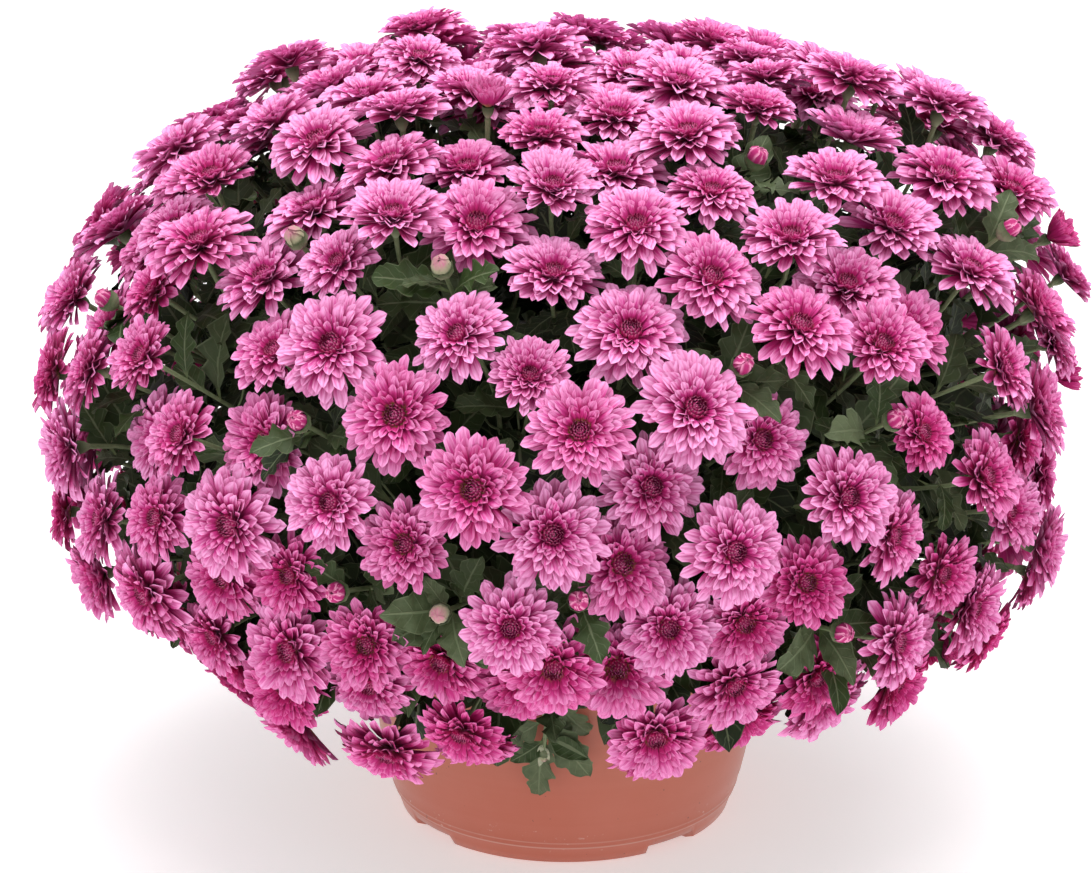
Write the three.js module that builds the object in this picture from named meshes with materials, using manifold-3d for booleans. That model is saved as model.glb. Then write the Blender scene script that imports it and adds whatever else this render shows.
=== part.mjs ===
// Pot chrysanthemum: a garden mum grown as a wide dome of double pink blooms in a terracotta bowl pot.
//
// Millimetres, +Z up. The origin is the centre of the foot ring, on the surface that the pot stands on.
// The plant's front faces -Y. The pot holds a root ball, a woody crown grows out of it, and every
// flowering spray and leafy shoot grows out of the crown. Their stems run straight from one point in the
// crown, so that they spread like the ribs of a fan and never cross.

import * as THREE from 'three';
import { mergeVertices } from 'three/addons/utils/BufferGeometryUtils.js';
import Module from 'manifold-3d';

const wasm = await Module();
wasm.setup();

// ---------------------------------------------------------------- driving dimensions

const CLEARANCE = 0.3; // between pieces that touch

const POT = {
  rimRadius: 95,
  height: 100,
  wall: 1.6,
  bandDepth: 12, // the plain band under the rim
  bandTaper: 0.2,
  footRadius: 76,
  footWidth: 5,
  footHeight: 3, // how far the base plate is raised
  segments: 28,
  notches: 4,
  notchWidth: 26,
  notchHeight: 6,
  notchDepth: 30,
  notchTurn: 39, // degrees from +X to the first one
  drains: 6,
  drainRadius: 4.5,
  drainSides: 6,
  drainCircle: 48,
};

const SOIL = {
  level: 87,
  mound: 3, // how much higher it lies round the crown
  crumb: 2.4,
  segments: 14,
  shoulder: 4, // how far it falls away from the wall
  wallGap: 0.4, // what its coarser ring of sides needs between it and the wall
  rings: [1, 0.7, 0.3, 0], // from its edge to the crown, as shares of the way
};

const CROWN = { radius: 22, height: 122, neckRadius: 12, rootRadius: 9, rootEnd: 62, bands: 4, segments: 9 };

const DOME = {
  height: 209, // of its widest level
  halfWidth: 240,
  above: 168,
  below: 137,
  sideDroop: 4, // it hangs this much lower at its sides than at its front and back
  squareness: 2.38, // exponent of its superellipse
  lowest: 97, // the lowest bloom's middle
};

// Where the dome swells, or sinks where the last number is below 0: degrees to the right of the front,
// degrees up, degrees wide, millimetres out.
const SWELLINGS = [
  { turn: 72, rise: 38, spread: 20, out: 18 },
  { turn: -62, rise: -30, spread: 26, out: 4 },
  { turn: -25, rise: -42, spread: 22, out: 18 },
  { turn: 60, rise: -30, spread: 26, out: 10 },
  { turn: -70, rise: 55, spread: 16, out: 14 },
  { turn: -85, rise: 2, spread: 22, out: 2 },
  { turn: 88, rise: 0, spread: 24, out: -4 },
  { turn: 100, rise: 70, spread: 22, out: -2 },
  { turn: -100, rise: 35, spread: 18, out: -4 },
  { turn: 165, rise: 78, spread: 14, out: -7 },
  { turn: 25, rise: -48, spread: 20, out: 8 },
];

// Where foliage shows between the blooms: degrees to the right of the front, degrees up, radius.
const WINDOWS = [
  { turn: -29, rise: 13, radius: 17 },
  { turn: -16, rise: 31, radius: 17 },
  { turn: 34, rise: 45, radius: 15 },
  { turn: 19, rise: 20, radius: 12 },
  { turn: -24, rise: -4, radius: 15 },
  { turn: -13, rise: -5, radius: 16 },
  { turn: 1, rise: -3, radius: 12 },
  { turn: 36, rise: 12, radius: 15 },
  { turn: 65, rise: 26, radius: 16 },
  { turn: -38, rise: 32, radius: 13 },
  { turn: 30, rise: -10, radius: 14 },
  { turn: -66, rise: 18, radius: 12 },
  { turn: 151, rise: 20, radius: 15 },
  { turn: 190, rise: 34, radius: 15 },
  { turn: 120, rise: 10, radius: 14 },
  { turn: -120, rise: 12, radius: 15 },
  { turn: -98, rise: 36, radius: 14 },
  { turn: 176, rise: 4, radius: 15 },
  { turn: -150, rise: -4, radius: 14 },
];

// The gap in the blooms in front of the shoot that hangs over the rim, in the same measures.
const RIM_GAP = { turn: -1, rise: -31, radius: 28 };

const BLOOM = {
  count: 312,
  smallest: 16.5,
  largest: 24,
  levels: 28, // how far the deepest one lies under the dome's surface
  skywards: 0.3, // how far they turn up from the surface's normal
  underTurn: 0.7, // how far those underneath still turn down
  unevenness: 0.3,
  overlap: 0.36, // share of their reach that two at different levels may overlap
  step: 14, // level difference at which they may
  space: 1.4,
  petals: 6, // in each layer
  lowest: -0.64, // how far down the first spiral of them goes, as the sine of the angle
  // as shares of a bloom's radius:
  tipDroop: 0.1,
  innerReach: 0.74,
  innerRise: 0.24,
  eyeRise: 0.16,
  neckDepth: 0.46,
};

const SPRAY = {
  count: 36,
  stemRadius: 1.9,
  peduncleRadius: 1.25,
  knotSides: 5,
  hub: 0.52, // share of the way from the crown to its blooms at which it branches
  flare: 16, // length over which the stem widens into the knot
  gather: 0.1, // how much closer the peduncles stand where they leave it
  leaves: { size: 1.05, least: 0.9, spread: 0.5 }, // how large, and how steep from least to most
  footRoom: 2.4, // distance between two peduncles' middles on the knot, in peduncle radii
  knotEdge: 1.3, // how far the knot reaches round the outermost one's middle, in the same measure
  shootRoom: 10, // degrees between its axis and a leafy shoot's
};

const SHOOT = {
  depth: 24, // of its highest leaves' feet under the dome's surface
  stemRadius: 1.7,
  tipRadius: 1.3,
  sides: 3,
  whorlGap: 12, // between its two whorls of leaves
  socket: 3, // the height of a leaf's foot on the stem
  leaves: { size: 0.8, least: 0.35, spread: 0.5 },
  budStalk: 12,
  budRadius: 4.8,
  budSides: 6,
};

// The way of the shoot that hangs over the front of the rim.
const OVER_RIM = [
  [0, -13, 119],
  [-3, -78, 116],
  [-7, -103, 104],
  [-9, -107, 84],
];

const LEAF = {
  length: 44,
  width: 27,
  thickness: 1.6,
  arch: 14,
  cupping: 5,
  middle: 0.45, // where it is thickest, as a share of its length
  offStem: 2.4, // where a leaf has to start to stand clear of everything
  room: 1.2, // and how much larger it has to be
  attempts: 7,
  turnStep: 0.3,
  riseStep: 0.12,
  turns: 1.2, // how far leaves turn to a side of their own, from the farthest left to the farthest right
  smallest: 0.8, // share of their full size
  largest: 1.05,
};

// ---------------------------------------------------------------- seeded draws

// A number from 0 to 1, always the same for one index and stream.
function draw(index, stream) {
  let hash = Math.imul(index + 1, 2654435761) + Math.imul(stream, 40503);
  hash = Math.imul(hash ^ (hash >>> 15), 2246822519);
  hash = Math.imul(hash ^ (hash >>> 13), 3266489917);
  return ((hash ^ (hash >>> 16)) >>> 0) / 4294967296;
}

// ---------------------------------------------------------------- the dome

const UP = new THREE.Vector3(0, 0, 1);
const FRONT = new THREE.Vector3(0, -1, 0);
const NEARLY_UPRIGHT = 0.95;
const DOME_CENTRE = new THREE.Vector3(0, 0, DOME.height);
const APEX = new THREE.Vector3(0, 0, CROWN.height);

function heading(turnDegrees, riseDegrees) {
  const turn = THREE.MathUtils.degToRad(turnDegrees);
  const rise = THREE.MathUtils.degToRad(riseDegrees);
  return new THREE.Vector3(
    Math.sin(turn) * Math.cos(rise),
    -Math.cos(turn) * Math.cos(rise),
    Math.sin(rise),
  );
}

// The dome's half height above or below its widest level, in a direction from its centre.
function halfHeight(direction) {
  if (direction.z > 0) return DOME.above;
  const turn = Math.atan2(direction.x, -direction.y);
  return DOME.below - DOME.sideDroop * Math.cos(2 * turn);
}

// Distance from the dome's centre to its surface: a superellipse turned round Z, with its swellings.
function reach(direction) {
  const flat = Math.hypot(direction.x, direction.y) / DOME.halfWidth;
  const tall = Math.abs(direction.z) / halfHeight(direction);
  const plain = (flat ** DOME.squareness + tall ** DOME.squareness) ** (-1 / DOME.squareness);
  return SWELLINGS.reduce((total, swelling) => {
    const angle = direction.angleTo(heading(swelling.turn, swelling.rise));
    const spread = THREE.MathUtils.degToRad(swelling.spread);
    return total + swelling.out * Math.exp(-((angle / spread) ** 2));
  }, plain);
}

// The superellipse's outward normal.
function normal(direction) {
  const flat = Math.hypot(direction.x, direction.y);
  const tall = halfHeight(direction);
  const power = DOME.squareness - 1;
  const outwards = (flat / DOME.halfWidth) ** power / DOME.halfWidth;
  const upwards = (Math.sign(direction.z) * (Math.abs(direction.z) / tall) ** power) / tall;
  return new THREE.Vector3(
    (direction.x / flat) * outwards,
    (direction.y / flat) * outwards,
    upwards,
  ).normalize();
}

// ---------------------------------------------------------------- where the blooms sit

const GOLDEN_ANGLE = Math.PI * (3 - Math.sqrt(5));
const SETTLING = {
  rounds: 90,
  step: 0.35, // share of a shortfall that one bloom makes up in a round
  windowStep: 0.5,
  windowShare: 0.75, // share of a bloom's radius that stays out of a window
  floorStep: 0.8,
  stacked: 34, // level difference over which two blooms don't meet
  near: 60,
};

// The way a bloom faces: the dome's normal, turned up to the light, with its own small lean.
function facing(bloom) {
  const face = normal(bloom.direction);
  if (face.z < 0) face.z *= BLOOM.underTurn;
  face.z += BLOOM.skywards;
  return face.add(bloom.lean).normalize();
}

function settle(bloom) {
  bloom.direction.normalize();
  bloom.centre = bloom.direction
    .clone()
    .multiplyScalar(reach(bloom.direction) - bloom.level)
    .add(DOME_CENTRE);
  bloom.face = facing(bloom);
}

function newBloom(_, index) {
  const height = 1 - ((index + 0.5) / BLOOM.count) * (1 - BLOOM.lowest);
  const flat = Math.sqrt(1 - height * height);
  const turn = index * GOLDEN_ANGLE;
  const lean = new THREE.Vector3(draw(index, 3) - 0.5, draw(index, 4) - 0.5, draw(index, 5) - 0.5);
  return {
    index,
    radius: BLOOM.smallest + (BLOOM.largest - BLOOM.smallest) * Math.sqrt(draw(index, 1)),
    level: BLOOM.levels * draw(index, 2) ** 1.5,
    lean: lean.multiplyScalar(BLOOM.unevenness),
    direction: new THREE.Vector3(flat * Math.sin(turn), -flat * Math.cos(turn), height),
  };
}

// How far, and which way, bloom has to move to stand clear of other. Two on one level need the whole of
// their two radii between them, and two on different levels may overlap a little.
function shove(bloom, other) {
  const between = other.centre.clone().sub(bloom.centre);
  const axis = other.face.clone().add(bloom.face).normalize();
  const rise = between.dot(axis);
  if (Math.abs(rise) > SETTLING.stacked) return null;
  between.addScaledVector(axis, -rise);
  const apart = between.length() + 1e-9;
  const eased = 1 - BLOOM.overlap * Math.min(Math.abs(rise) / BLOOM.step, 1);
  const need = (bloom.radius + other.radius) * eased + BLOOM.space;
  if (apart >= need) return null;
  return between.multiplyScalar((-(need - apart) * SETTLING.step) / apart);
}

function openingOnDome({ turn, rise, radius }) {
  const direction = heading(turn, rise);
  return { radius, point: direction.clone().multiplyScalar(reach(direction)).add(DOME_CENTRE) };
}

const windows = WINDOWS.map(openingOnDome);
const openings = [...windows, openingOnDome(RIM_GAP)];

function placeBlooms() {
  const blooms = Array.from({ length: BLOOM.count }, newBloom);
  for (let round = 0; round < SETTLING.rounds; round += 1) {
    blooms.forEach(settle);
    const moves = blooms.map((bloom) => {
      const move = new THREE.Vector3();
      for (const other of blooms) {
        if (other === bloom || bloom.centre.distanceTo(other.centre) > SETTLING.near) continue;
        const push = shove(bloom, other);
        if (push) move.add(push);
      }
      for (const opening of openings) {
        const away = bloom.centre.clone().sub(opening.point);
        const apart = away.length() + 1e-9;
        const short = opening.radius + bloom.radius * SETTLING.windowShare - apart;
        if (short > 0) move.addScaledVector(away, (short * SETTLING.windowStep) / apart);
      }
      move.z += Math.max(DOME.lowest - bloom.centre.z, 0) * SETTLING.floorStep;
      return move;
    });
    blooms.forEach((bloom, index) => {
      bloom.direction = bloom.centre.add(moves[index]).sub(DOME_CENTRE);
    });
  }
  blooms.forEach(settle);
  return blooms;
}

// ---------------------------------------------------------------- which spray carries which bloom

const GROUPING = {
  rounds: 16,
  lowest: -0.05, // how far down the first sprays' axes go, as the sine of the angle
};

// Turns a spray's axis away from the leafy shoots' axes that it is too near.
function keepFromShoots(axis, shootAxes) {
  const room = THREE.MathUtils.degToRad(SPRAY.shootRoom);
  for (const shoot of shootAxes) {
    const angle = axis.angleTo(shoot);
    if (angle >= room) continue;
    const hinge = new THREE.Vector3().crossVectors(shoot, axis).normalize();
    axis.applyAxisAngle(hinge, room - angle);
  }
}

function groupIntoSprays(blooms, shootAxes) {
  const sprays = Array.from({ length: SPRAY.count }, (_, index) => {
    const height = 1 - ((index + 0.5) / SPRAY.count) * (1 - GROUPING.lowest);
    const flat = Math.sqrt(1 - height * height);
    const turn = index * GOLDEN_ANGLE;
    return { axis: new THREE.Vector3(flat * Math.sin(turn), -flat * Math.cos(turn), height) };
  });
  for (const bloom of blooms) bloom.ray = bloom.centre.clone().sub(APEX).normalize();
  for (let round = 0; round < GROUPING.rounds; round += 1) {
    for (const spray of sprays) {
      keepFromShoots(spray.axis, shootAxes);
      spray.blooms = [];
      spray.middle = new THREE.Vector3();
    }
    for (const bloom of blooms) {
      const nearest = sprays.reduce((best, spray) =>
        spray.axis.dot(bloom.ray) > best.axis.dot(bloom.ray) ? spray : best,
      );
      nearest.blooms.push(bloom);
      nearest.middle.add(bloom.ray);
    }
    if (round === GROUPING.rounds - 1) break;
    for (const spray of sprays) spray.axis = spray.middle.normalize();
  }
  return sprays;
}

// ---------------------------------------------------------------- solids

function solidOf(geometry) {
  const bare = geometry.clone();
  for (const name of ['normal', 'uv']) bare.deleteAttribute(name);
  const merged = mergeVertices(bare, 1e-4);
  return new wasm.Manifold(
    new wasm.Mesh({
      numProp: 3,
      vertProperties: new Float32Array(merged.attributes.position.array),
      triVerts: new Uint32Array(merged.index.array),
    }),
  );
}

function geometryOf(solid) {
  const mesh = solid.getMesh();
  const geometry = new THREE.BufferGeometry();
  geometry.setAttribute('position', new THREE.BufferAttribute(mesh.vertProperties, 3));
  geometry.setIndex(new THREE.BufferAttribute(mesh.triVerts, 1));
  geometry.computeVertexNormals();
  return geometry;
}

function solidFrom(points, faces) {
  const geometry = new THREE.BufferGeometry();
  geometry.setAttribute('position', new THREE.Float32BufferAttribute(points.flatMap((p) => p.toArray()), 3));
  geometry.setIndex(faces.flat());
  return solidOf(geometry);
}

// Two directions across an axis.
function across(axis) {
  const helper = Math.abs(axis.z) > NEARLY_UPRIGHT ? FRONT : UP;
  const side = new THREE.Vector3().crossVectors(helper, axis).normalize();
  return [side, new THREE.Vector3().crossVectors(axis, side)];
}

// Points round an axis, turning to the left of it from a side direction.
function ringAround(centre, axis, radius, count, side = across(axis)[0]) {
  const first = side.clone().addScaledVector(axis, -side.dot(axis)).setLength(radius);
  return Array.from({ length: count }, (_, index) =>
    first
      .clone()
      .applyAxisAngle(axis, (index / count) * 2 * Math.PI)
      .add(centre),
  );
}

// ---------------------------------------------------------------- blooms, buds and leaves

// The points and faces of a closed body, gathered piece by piece.
class Shell {
  constructor() {
    this.points = [];
    this.faces = [];
  }

  // Adds points and gives their indices.
  add(...points) {
    const first = this.points.length;
    this.points.push(...points);
    return points.map((_, index) => first + index);
  }

  // Faces between two rings that turn the same way round an axis, the first one further along it. Gives
  // those with two corners on the lower ring, which a leaf can grow out of.
  bridge(upper, lower) {
    const sockets = [];
    let a = 0;
    let b = 0;
    while (a < upper.length || b < lower.length) {
      const high = upper[a % upper.length];
      const low = lower[b % lower.length];
      const upperNext = a < upper.length && (a + 0.5) / upper.length <= (b + 0.5) / lower.length;
      if (upperNext || b >= lower.length) {
        a += 1;
        this.faces.push([high, low, upper[a % upper.length]]);
      } else {
        b += 1;
        sockets.push([low, lower[b % lower.length], high]);
        this.faces.push(sockets.at(-1));
      }
    }
    return sockets;
  }

  // Faces from a ring to one point, seen with the ring turning to the left.
  close(ring, point) {
    ring.forEach((corner, index) => this.faces.push([corner, ring[(index + 1) % ring.length], point]));
  }

  solid() {
    return solidFrom(this.points, this.faces);
  }
}

// A double bloom on its peduncle, from the foot ring up. Its rim goes in turn through the tips of the
// outer petals, which droop, and of the inner layer, which stand up round the sunken eye.
function growBloom(shell, bloom, foot) {
  const { centre, face, radius } = bloom;
  const towardsFirst = shell.points[foot[0]].clone().sub(bloom.root);
  const ring = (lift, reachOut, count) =>
    ringAround(centre.clone().addScaledVector(face, lift * radius), face, reachOut, count, towardsFirst);
  const neck = shell.add(...ring(-BLOOM.neckDepth, SPRAY.peduncleRadius, foot.length));
  const outer = ring(-BLOOM.tipDroop, radius, 2 * BLOOM.petals);
  const inner = ring(BLOOM.innerRise, radius * BLOOM.innerReach, 2 * BLOOM.petals);
  const rim = shell.add(...outer.map((tip, index) => (index % 2 ? inner[index] : tip)));
  const [eye] = shell.add(centre.clone().addScaledVector(face, radius * BLOOM.eyeRise));
  shell.bridge(neck, foot);
  shell.bridge(rim, neck);
  shell.close(rim, eye);
}

// One side of the leaf's edge, from its foot to its tip: a lobe, a notch, a lobe. The other mirrors it.
const LEAF_EDGE = [
  [0.3, 0.42],
  [0.46, 0.3],
  [0.7, 0.44],
];

// The points of a lobed leaf that is arched from its foot to its tip, with its edges raised: its edge
// all round, the tip in the middle, then the middle of its upper face and of its lower face.
function leafPoints({ foot, along, face, size }) {
  const side = new THREE.Vector3().crossVectors(face, along).normalize();
  const up = new THREE.Vector3().crossVectors(along, side).normalize();
  const place = (u, v, lift) =>
    foot
      .clone()
      .addScaledVector(along, u * LEAF.length * size)
      .addScaledVector(side, v * LEAF.width * size)
      .addScaledVector(up, (lift + LEAF.arch * (u - u * u)) * size);
  const edge = (sign) => LEAF_EDGE.map(([u, v]) => place(u, sign * v, v * LEAF.cupping));
  return [
    ...edge(1),
    place(1, 0, 0),
    ...edge(-1).reverse(),
    place(LEAF.middle, 0, LEAF.thickness / 2),
    place(LEAF.middle, 0, -LEAF.thickness / 2),
  ];
}

// Grows a leaf out of one face of a stem: two corners of it below, the third one above them.
function growLeaf(shell, socket, leaf) {
  const [left, right, above] = socket;
  const points = shell.add(...leafPoints(leaf));
  const lower = points.pop();
  const upper = points.pop();
  const edge = [right, ...points, left];
  shell.faces.splice(shell.faces.indexOf(socket), 1);
  for (let index = 0; index < edge.length - 1; index += 1) {
    shell.faces.push([edge[index], edge[index + 1], lower], [edge[index + 1], edge[index], upper]);
  }
  shell.faces.push([left, right, lower], [right, above, upper], [above, left, upper]);
}

// The same leaf as a closed body of its own, slightly larger and just off its stem.
function leafRoom(leaf) {
  const shell = new Shell();
  const foot = leaf.foot.clone().addScaledVector(leaf.along, LEAF.offStem);
  const points = shell.add(foot, ...leafPoints({ ...leaf, foot, size: leaf.size * LEAF.room }));
  const lower = points.pop();
  const upper = points.pop();
  points.forEach((point, index) => {
    const next = points[(index + 1) % points.length];
    shell.faces.push([point, next, lower], [next, point, upper]);
  });
  return shell.solid();
}

// ---------------------------------------------------------------- sprays and leafy shoots

const CROWN_SHARE = 0.6; // stems start this far out inside the crown, and are then cut off at its skin

// Moves the spots where peduncles leave a knot apart, until each has room for its foot.
function spread(spots) {
  const room = SPRAY.peduncleRadius * SPRAY.footRoom;
  for (let round = 0; round < GROUPING.rounds; round += 1) {
    spots.forEach((spot, index) => {
      for (const other of spots.slice(0, index)) {
        const between = spot.clone().sub(other);
        const short = Math.max(room - between.length(), 0) / 2;
        between.setLength(short);
        spot.add(between);
        other.sub(between);
      }
    });
  }
}

// A flowering spray: a straight stem that widens into a knot, and a peduncle from the knot to each bloom.
function growSpray(spray) {
  const { axis, blooms: group } = spray;
  const far = group.reduce((sum, bloom) => sum + bloom.centre.distanceTo(APEX), 0) / group.length;
  const hub = APEX.clone().addScaledVector(axis, far * SPRAY.hub);
  const [side, other] = across(axis);
  const shell = new Shell();
  for (const bloom of group) {
    const offset = bloom.centre.clone().sub(hub);
    bloom.spot = new THREE.Vector2(offset.dot(side), offset.dot(other)).multiplyScalar(SPRAY.gather);
  }
  spread(group.map((bloom) => bloom.spot));
  for (const bloom of group) {
    bloom.root = hub.clone().addScaledVector(side, bloom.spot.x).addScaledVector(other, bloom.spot.y);
  }
  const widest = Math.max(...group.map((bloom) => bloom.spot.length()));
  const knotRadius = (widest + SPRAY.peduncleRadius * SPRAY.knotEdge) / Math.cos(Math.PI / SPRAY.knotSides);
  const ring = (middle, radius, sides) => shell.add(...ringAround(middle, axis, radius, sides));
  const foot = ring(APEX.clone().addScaledVector(axis, CROWN.radius * CROWN_SHARE), SPRAY.stemRadius, 3);
  const flare = ring(hub.clone().addScaledVector(axis, -SPRAY.flare), SPRAY.stemRadius, 3);
  const knot = ring(hub, knotRadius, SPRAY.knotSides);
  shell.faces.push([foot[0], foot[2], foot[1]]);
  shell.bridge(flare, foot);
  const sockets = shell.bridge(knot, flare);
  const feet = group.map((bloom) => shell.add(...ringAround(bloom.root, axis, SPRAY.peduncleRadius, 3)));
  const flat = (index) => {
    const offset = shell.points[index].clone().sub(hub);
    return new THREE.Vector2(offset.dot(side), offset.dot(other));
  };
  const holes = feet.map((foot) => [...foot].reverse());
  const corners = [...knot, ...holes.flat()];
  const knotFaces = THREE.ShapeUtils.triangulateShape(knot.map(flat), holes.map((hole) => hole.map(flat)));
  for (const face of knotFaces) shell.faces.push(face.map((index) => corners[index]));
  group.forEach((bloom, index) => growBloom(shell, bloom, feet[index]));
  return { shell, sockets, axis, lean: SPRAY.leaves };
}

// ---------------------------------------------------------------- leafy shoots

// A shoot with no open bloom along a path: its stem, two whorls of sockets for leaves, and a closed bud.
function growShoot(path) {
  const shell = new Shell();
  const sideways = new THREE.Vector3().crossVectors(UP, path[1].clone().sub(path[0]));
  const last = path.length - 1;
  const rings = [];
  const ring = (middle, axis, radius, sides) => {
    rings.push(shell.add(...ringAround(middle, axis, radius, sides, sideways)));
  };
  for (let index = 0; index < last; index += 1) {
    const before = path[Math.max(index - 1, 0)];
    ring(path[index], path[index + 1].clone().sub(before).normalize(), SHOOT.stemRadius, SHOOT.sides);
  }
  const axis = path[last].clone().sub(path[last - 1]).normalize();
  const along = (distance) => path[last].clone().addScaledVector(axis, distance);
  for (const distance of [-SHOOT.whorlGap - SHOOT.socket, -SHOOT.whorlGap, -SHOOT.socket, 0]) {
    ring(along(distance), axis, SHOOT.tipRadius, SHOOT.sides);
  }
  ring(along(SHOOT.budStalk), axis, SHOOT.tipRadius, SHOOT.sides);
  ring(along(SHOOT.budStalk + SHOOT.budRadius), axis, SHOOT.budRadius, SHOOT.budSides);
  const [top] = shell.add(along(SHOOT.budStalk + 2 * SHOOT.budRadius));
  shell.faces.push([rings[0][0], rings[0][2], rings[0][1]]);
  const faces = rings.slice(1).map((upper, index) => shell.bridge(upper, rings[index]));
  shell.close(rings.at(-1), top);
  return { shell, sockets: [...faces[last], ...faces[last + 2].slice(1)], axis, lean: SHOOT.leaves };
}

// The leaves that a stem bears, one out of each socket: turned and raised step by step until the leaf
// stands clear of every piece, and left out where it can't.
function bearLeaves(piece, owner) {
  const { shell, sockets, axis, lean } = piece.growth;
  sockets.forEach((socket, index) => {
    const corners = socket.map((corner) => shell.points[corner]);
    const foot = corners[0].clone().add(corners[1]).multiplyScalar(0.5);
    const out = new THREE.Vector3().crossVectors(corners[1].clone().sub(corners[0]), axis).normalize();
    const key = owner * 8 + index;
    const size = lean.size * (LEAF.smallest + (LEAF.largest - LEAF.smallest) * draw(key, 24));
    const turn = (draw(key, 22) - 0.5) * LEAF.turns;
    const rise = lean.least + lean.spread * draw(key, 23);
    for (let attempt = 0; attempt < LEAF.attempts; attempt += 1) {
      const swing = turn + LEAF.turnStep * Math.ceil(attempt / 2) * (attempt % 2 ? 1 : -1);
      const along = out.clone().applyAxisAngle(axis, swing);
      along.addScaledVector(axis, rise + attempt * LEAF.riseStep).normalize();
      const leaf = { foot, along, face: axis, size };
      if (standsClear(leafRoom(leaf))) {
        growLeaf(shell, socket, leaf);
        piece.solid = shell.solid().subtract(crownRoom);
        return;
      }
    }
  });
}

// ---------------------------------------------------------------- pot, soil and crown

function turned(profile, segments) {
  const points = profile.map(([radius, height]) => new THREE.Vector2(radius, height));
  const geometry = new THREE.LatheGeometry(points, segments);
  geometry.rotateX(Math.PI / 2);
  return geometry;
}

// The bowl's outer wall: radius and height from its foot to the underside of the rim band.
const POT_WALL = [
  [80, 1.8],
  [84, 14],
  [88.4, 30],
  [91, 52],
  [92.8, 87],
];

// The same wall seen from inside, in to a distance from its outer face, downwards.
function innerWall(distance, lift) {
  return POT_WALL.slice(1)
    .reverse()
    .map(([radius, height]) => [radius - distance, height + lift]);
}

function potSolid() {
  const { rimRadius: rim, height, wall, footRadius: foot, footHeight: floor } = POT;
  const profile = [
    [0, floor],
    [foot - POT.footWidth, floor],
    [foot - POT.footWidth, 0],
    [foot, 0],
    ...POT_WALL,
    [rim - POT.bandTaper, height - POT.bandDepth],
    [rim, height],
    [rim - wall, height],
    ...innerWall(wall, wall / 2),
    [foot + wall, floor + wall],
    [0, floor + wall],
  ];
  let solid = solidOf(turned(profile, POT.segments));
  for (let index = 0; index < POT.notches; index += 1) {
    const notch = new THREE.BoxGeometry(POT.notchDepth, POT.notchWidth, 2 * POT.notchHeight);
    notch.translate(foot, 0, 0);
    notch.rotateZ(THREE.MathUtils.degToRad(POT.notchTurn) + (index / POT.notches) * 2 * Math.PI);
    solid = solid.subtract(solidOf(notch));
  }
  for (let index = 0; index < POT.drains; index += 1) {
    const drain = new THREE.CylinderGeometry(POT.drainRadius, POT.drainRadius, 4 * wall, POT.drainSides);
    drain.rotateX(Math.PI / 2);
    drain.translate(POT.drainCircle, 0, floor + wall / 2);
    drain.rotateZ((index / POT.drains) * 2 * Math.PI);
    solid = solid.subtract(solidOf(drain));
  }
  return solid;
}

// A root inside the soil, and a round woody knob on it that the stems grow out of.
function crownProfile(extra) {
  const { radius, height, neckRadius, bands } = CROWN;
  const start = -Math.acos(neckRadius / radius);
  const knob = Array.from({ length: bands }, (_, step) => {
    const rise = start + (Math.PI / 2 - start) * (step / bands);
    return [(radius + extra) * Math.cos(rise), height + (radius + extra) * Math.sin(rise)];
  });
  return [
    [0, CROWN.rootEnd - extra],
    [CROWN.rootRadius + extra, CROWN.rootEnd - extra],
    [neckRadius + extra, SOIL.level],
    ...knob,
    [0, height + radius + extra],
  ];
}

// The root ball fills the pot to just under its rim. It has a hole for the crown and a crumbly top.
function soilSolid() {
  const gap = POT.wall + CLEARANCE + SOIL.wallGap;
  const hole = (CROWN.neckRadius + CLEARANCE) / Math.cos(Math.PI / SOIL.segments) + SOIL.wallGap;
  const floor = POT.footHeight + POT.wall + CLEARANCE;
  const well = CROWN.rootEnd - CLEARANCE;
  const edge = POT.rimRadius - gap - SOIL.shoulder;
  const profile = [
    [0, floor],
    [POT.footRadius, floor],
    ...innerWall(gap, POT.wall / 2 + CLEARANCE).reverse().slice(0, -1),
    [edge + SOIL.shoulder / 2, SOIL.level - SOIL.shoulder],
    ...SOIL.rings.map((share) => [hole + (edge - hole) * share, SOIL.level]),
    [hole, well],
    [0, well],
  ];
  const geometry = turned(profile, SOIL.segments);
  const place = geometry.attributes.position;
  for (let index = 0; index < place.count; index += 1) {
    const x = place.getX(index);
    const y = place.getY(index);
    const out = Math.hypot(x, y);
    if (place.getZ(index) < SOIL.level) continue;
    const turn = Math.atan2(y, x);
    const crumbs = Math.sin(5 * turn + out) * Math.cos(3 * turn - out / 7);
    place.setZ(index, SOIL.level + SOIL.mound * (1 - out / edge) + SOIL.crumb * crumbs);
  }
  return solidOf(geometry);
}

// ---------------------------------------------------------------- the whole plant

const blooms = placeBlooms();
const crownRoom = solidOf(turned(crownProfile(CLEARANCE), CROWN.segments));
const numbered = (name, index) => `${name}_${String(index + 1).padStart(2, '0')}`;

const shootPaths = windows.map(({ point }) => {
  const axis = point.clone().sub(APEX).normalize();
  const start = APEX.clone().addScaledVector(axis, CROWN.radius * CROWN_SHARE);
  return [start, point.clone().addScaledVector(axis, -SHOOT.depth)];
});
shootPaths.push(OVER_RIM.map((place) => new THREE.Vector3(...place)));

const sprays = groupIntoSprays(
  blooms,
  shootPaths.map(([start]) => start.clone().sub(APEX).normalize()),
);

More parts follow.
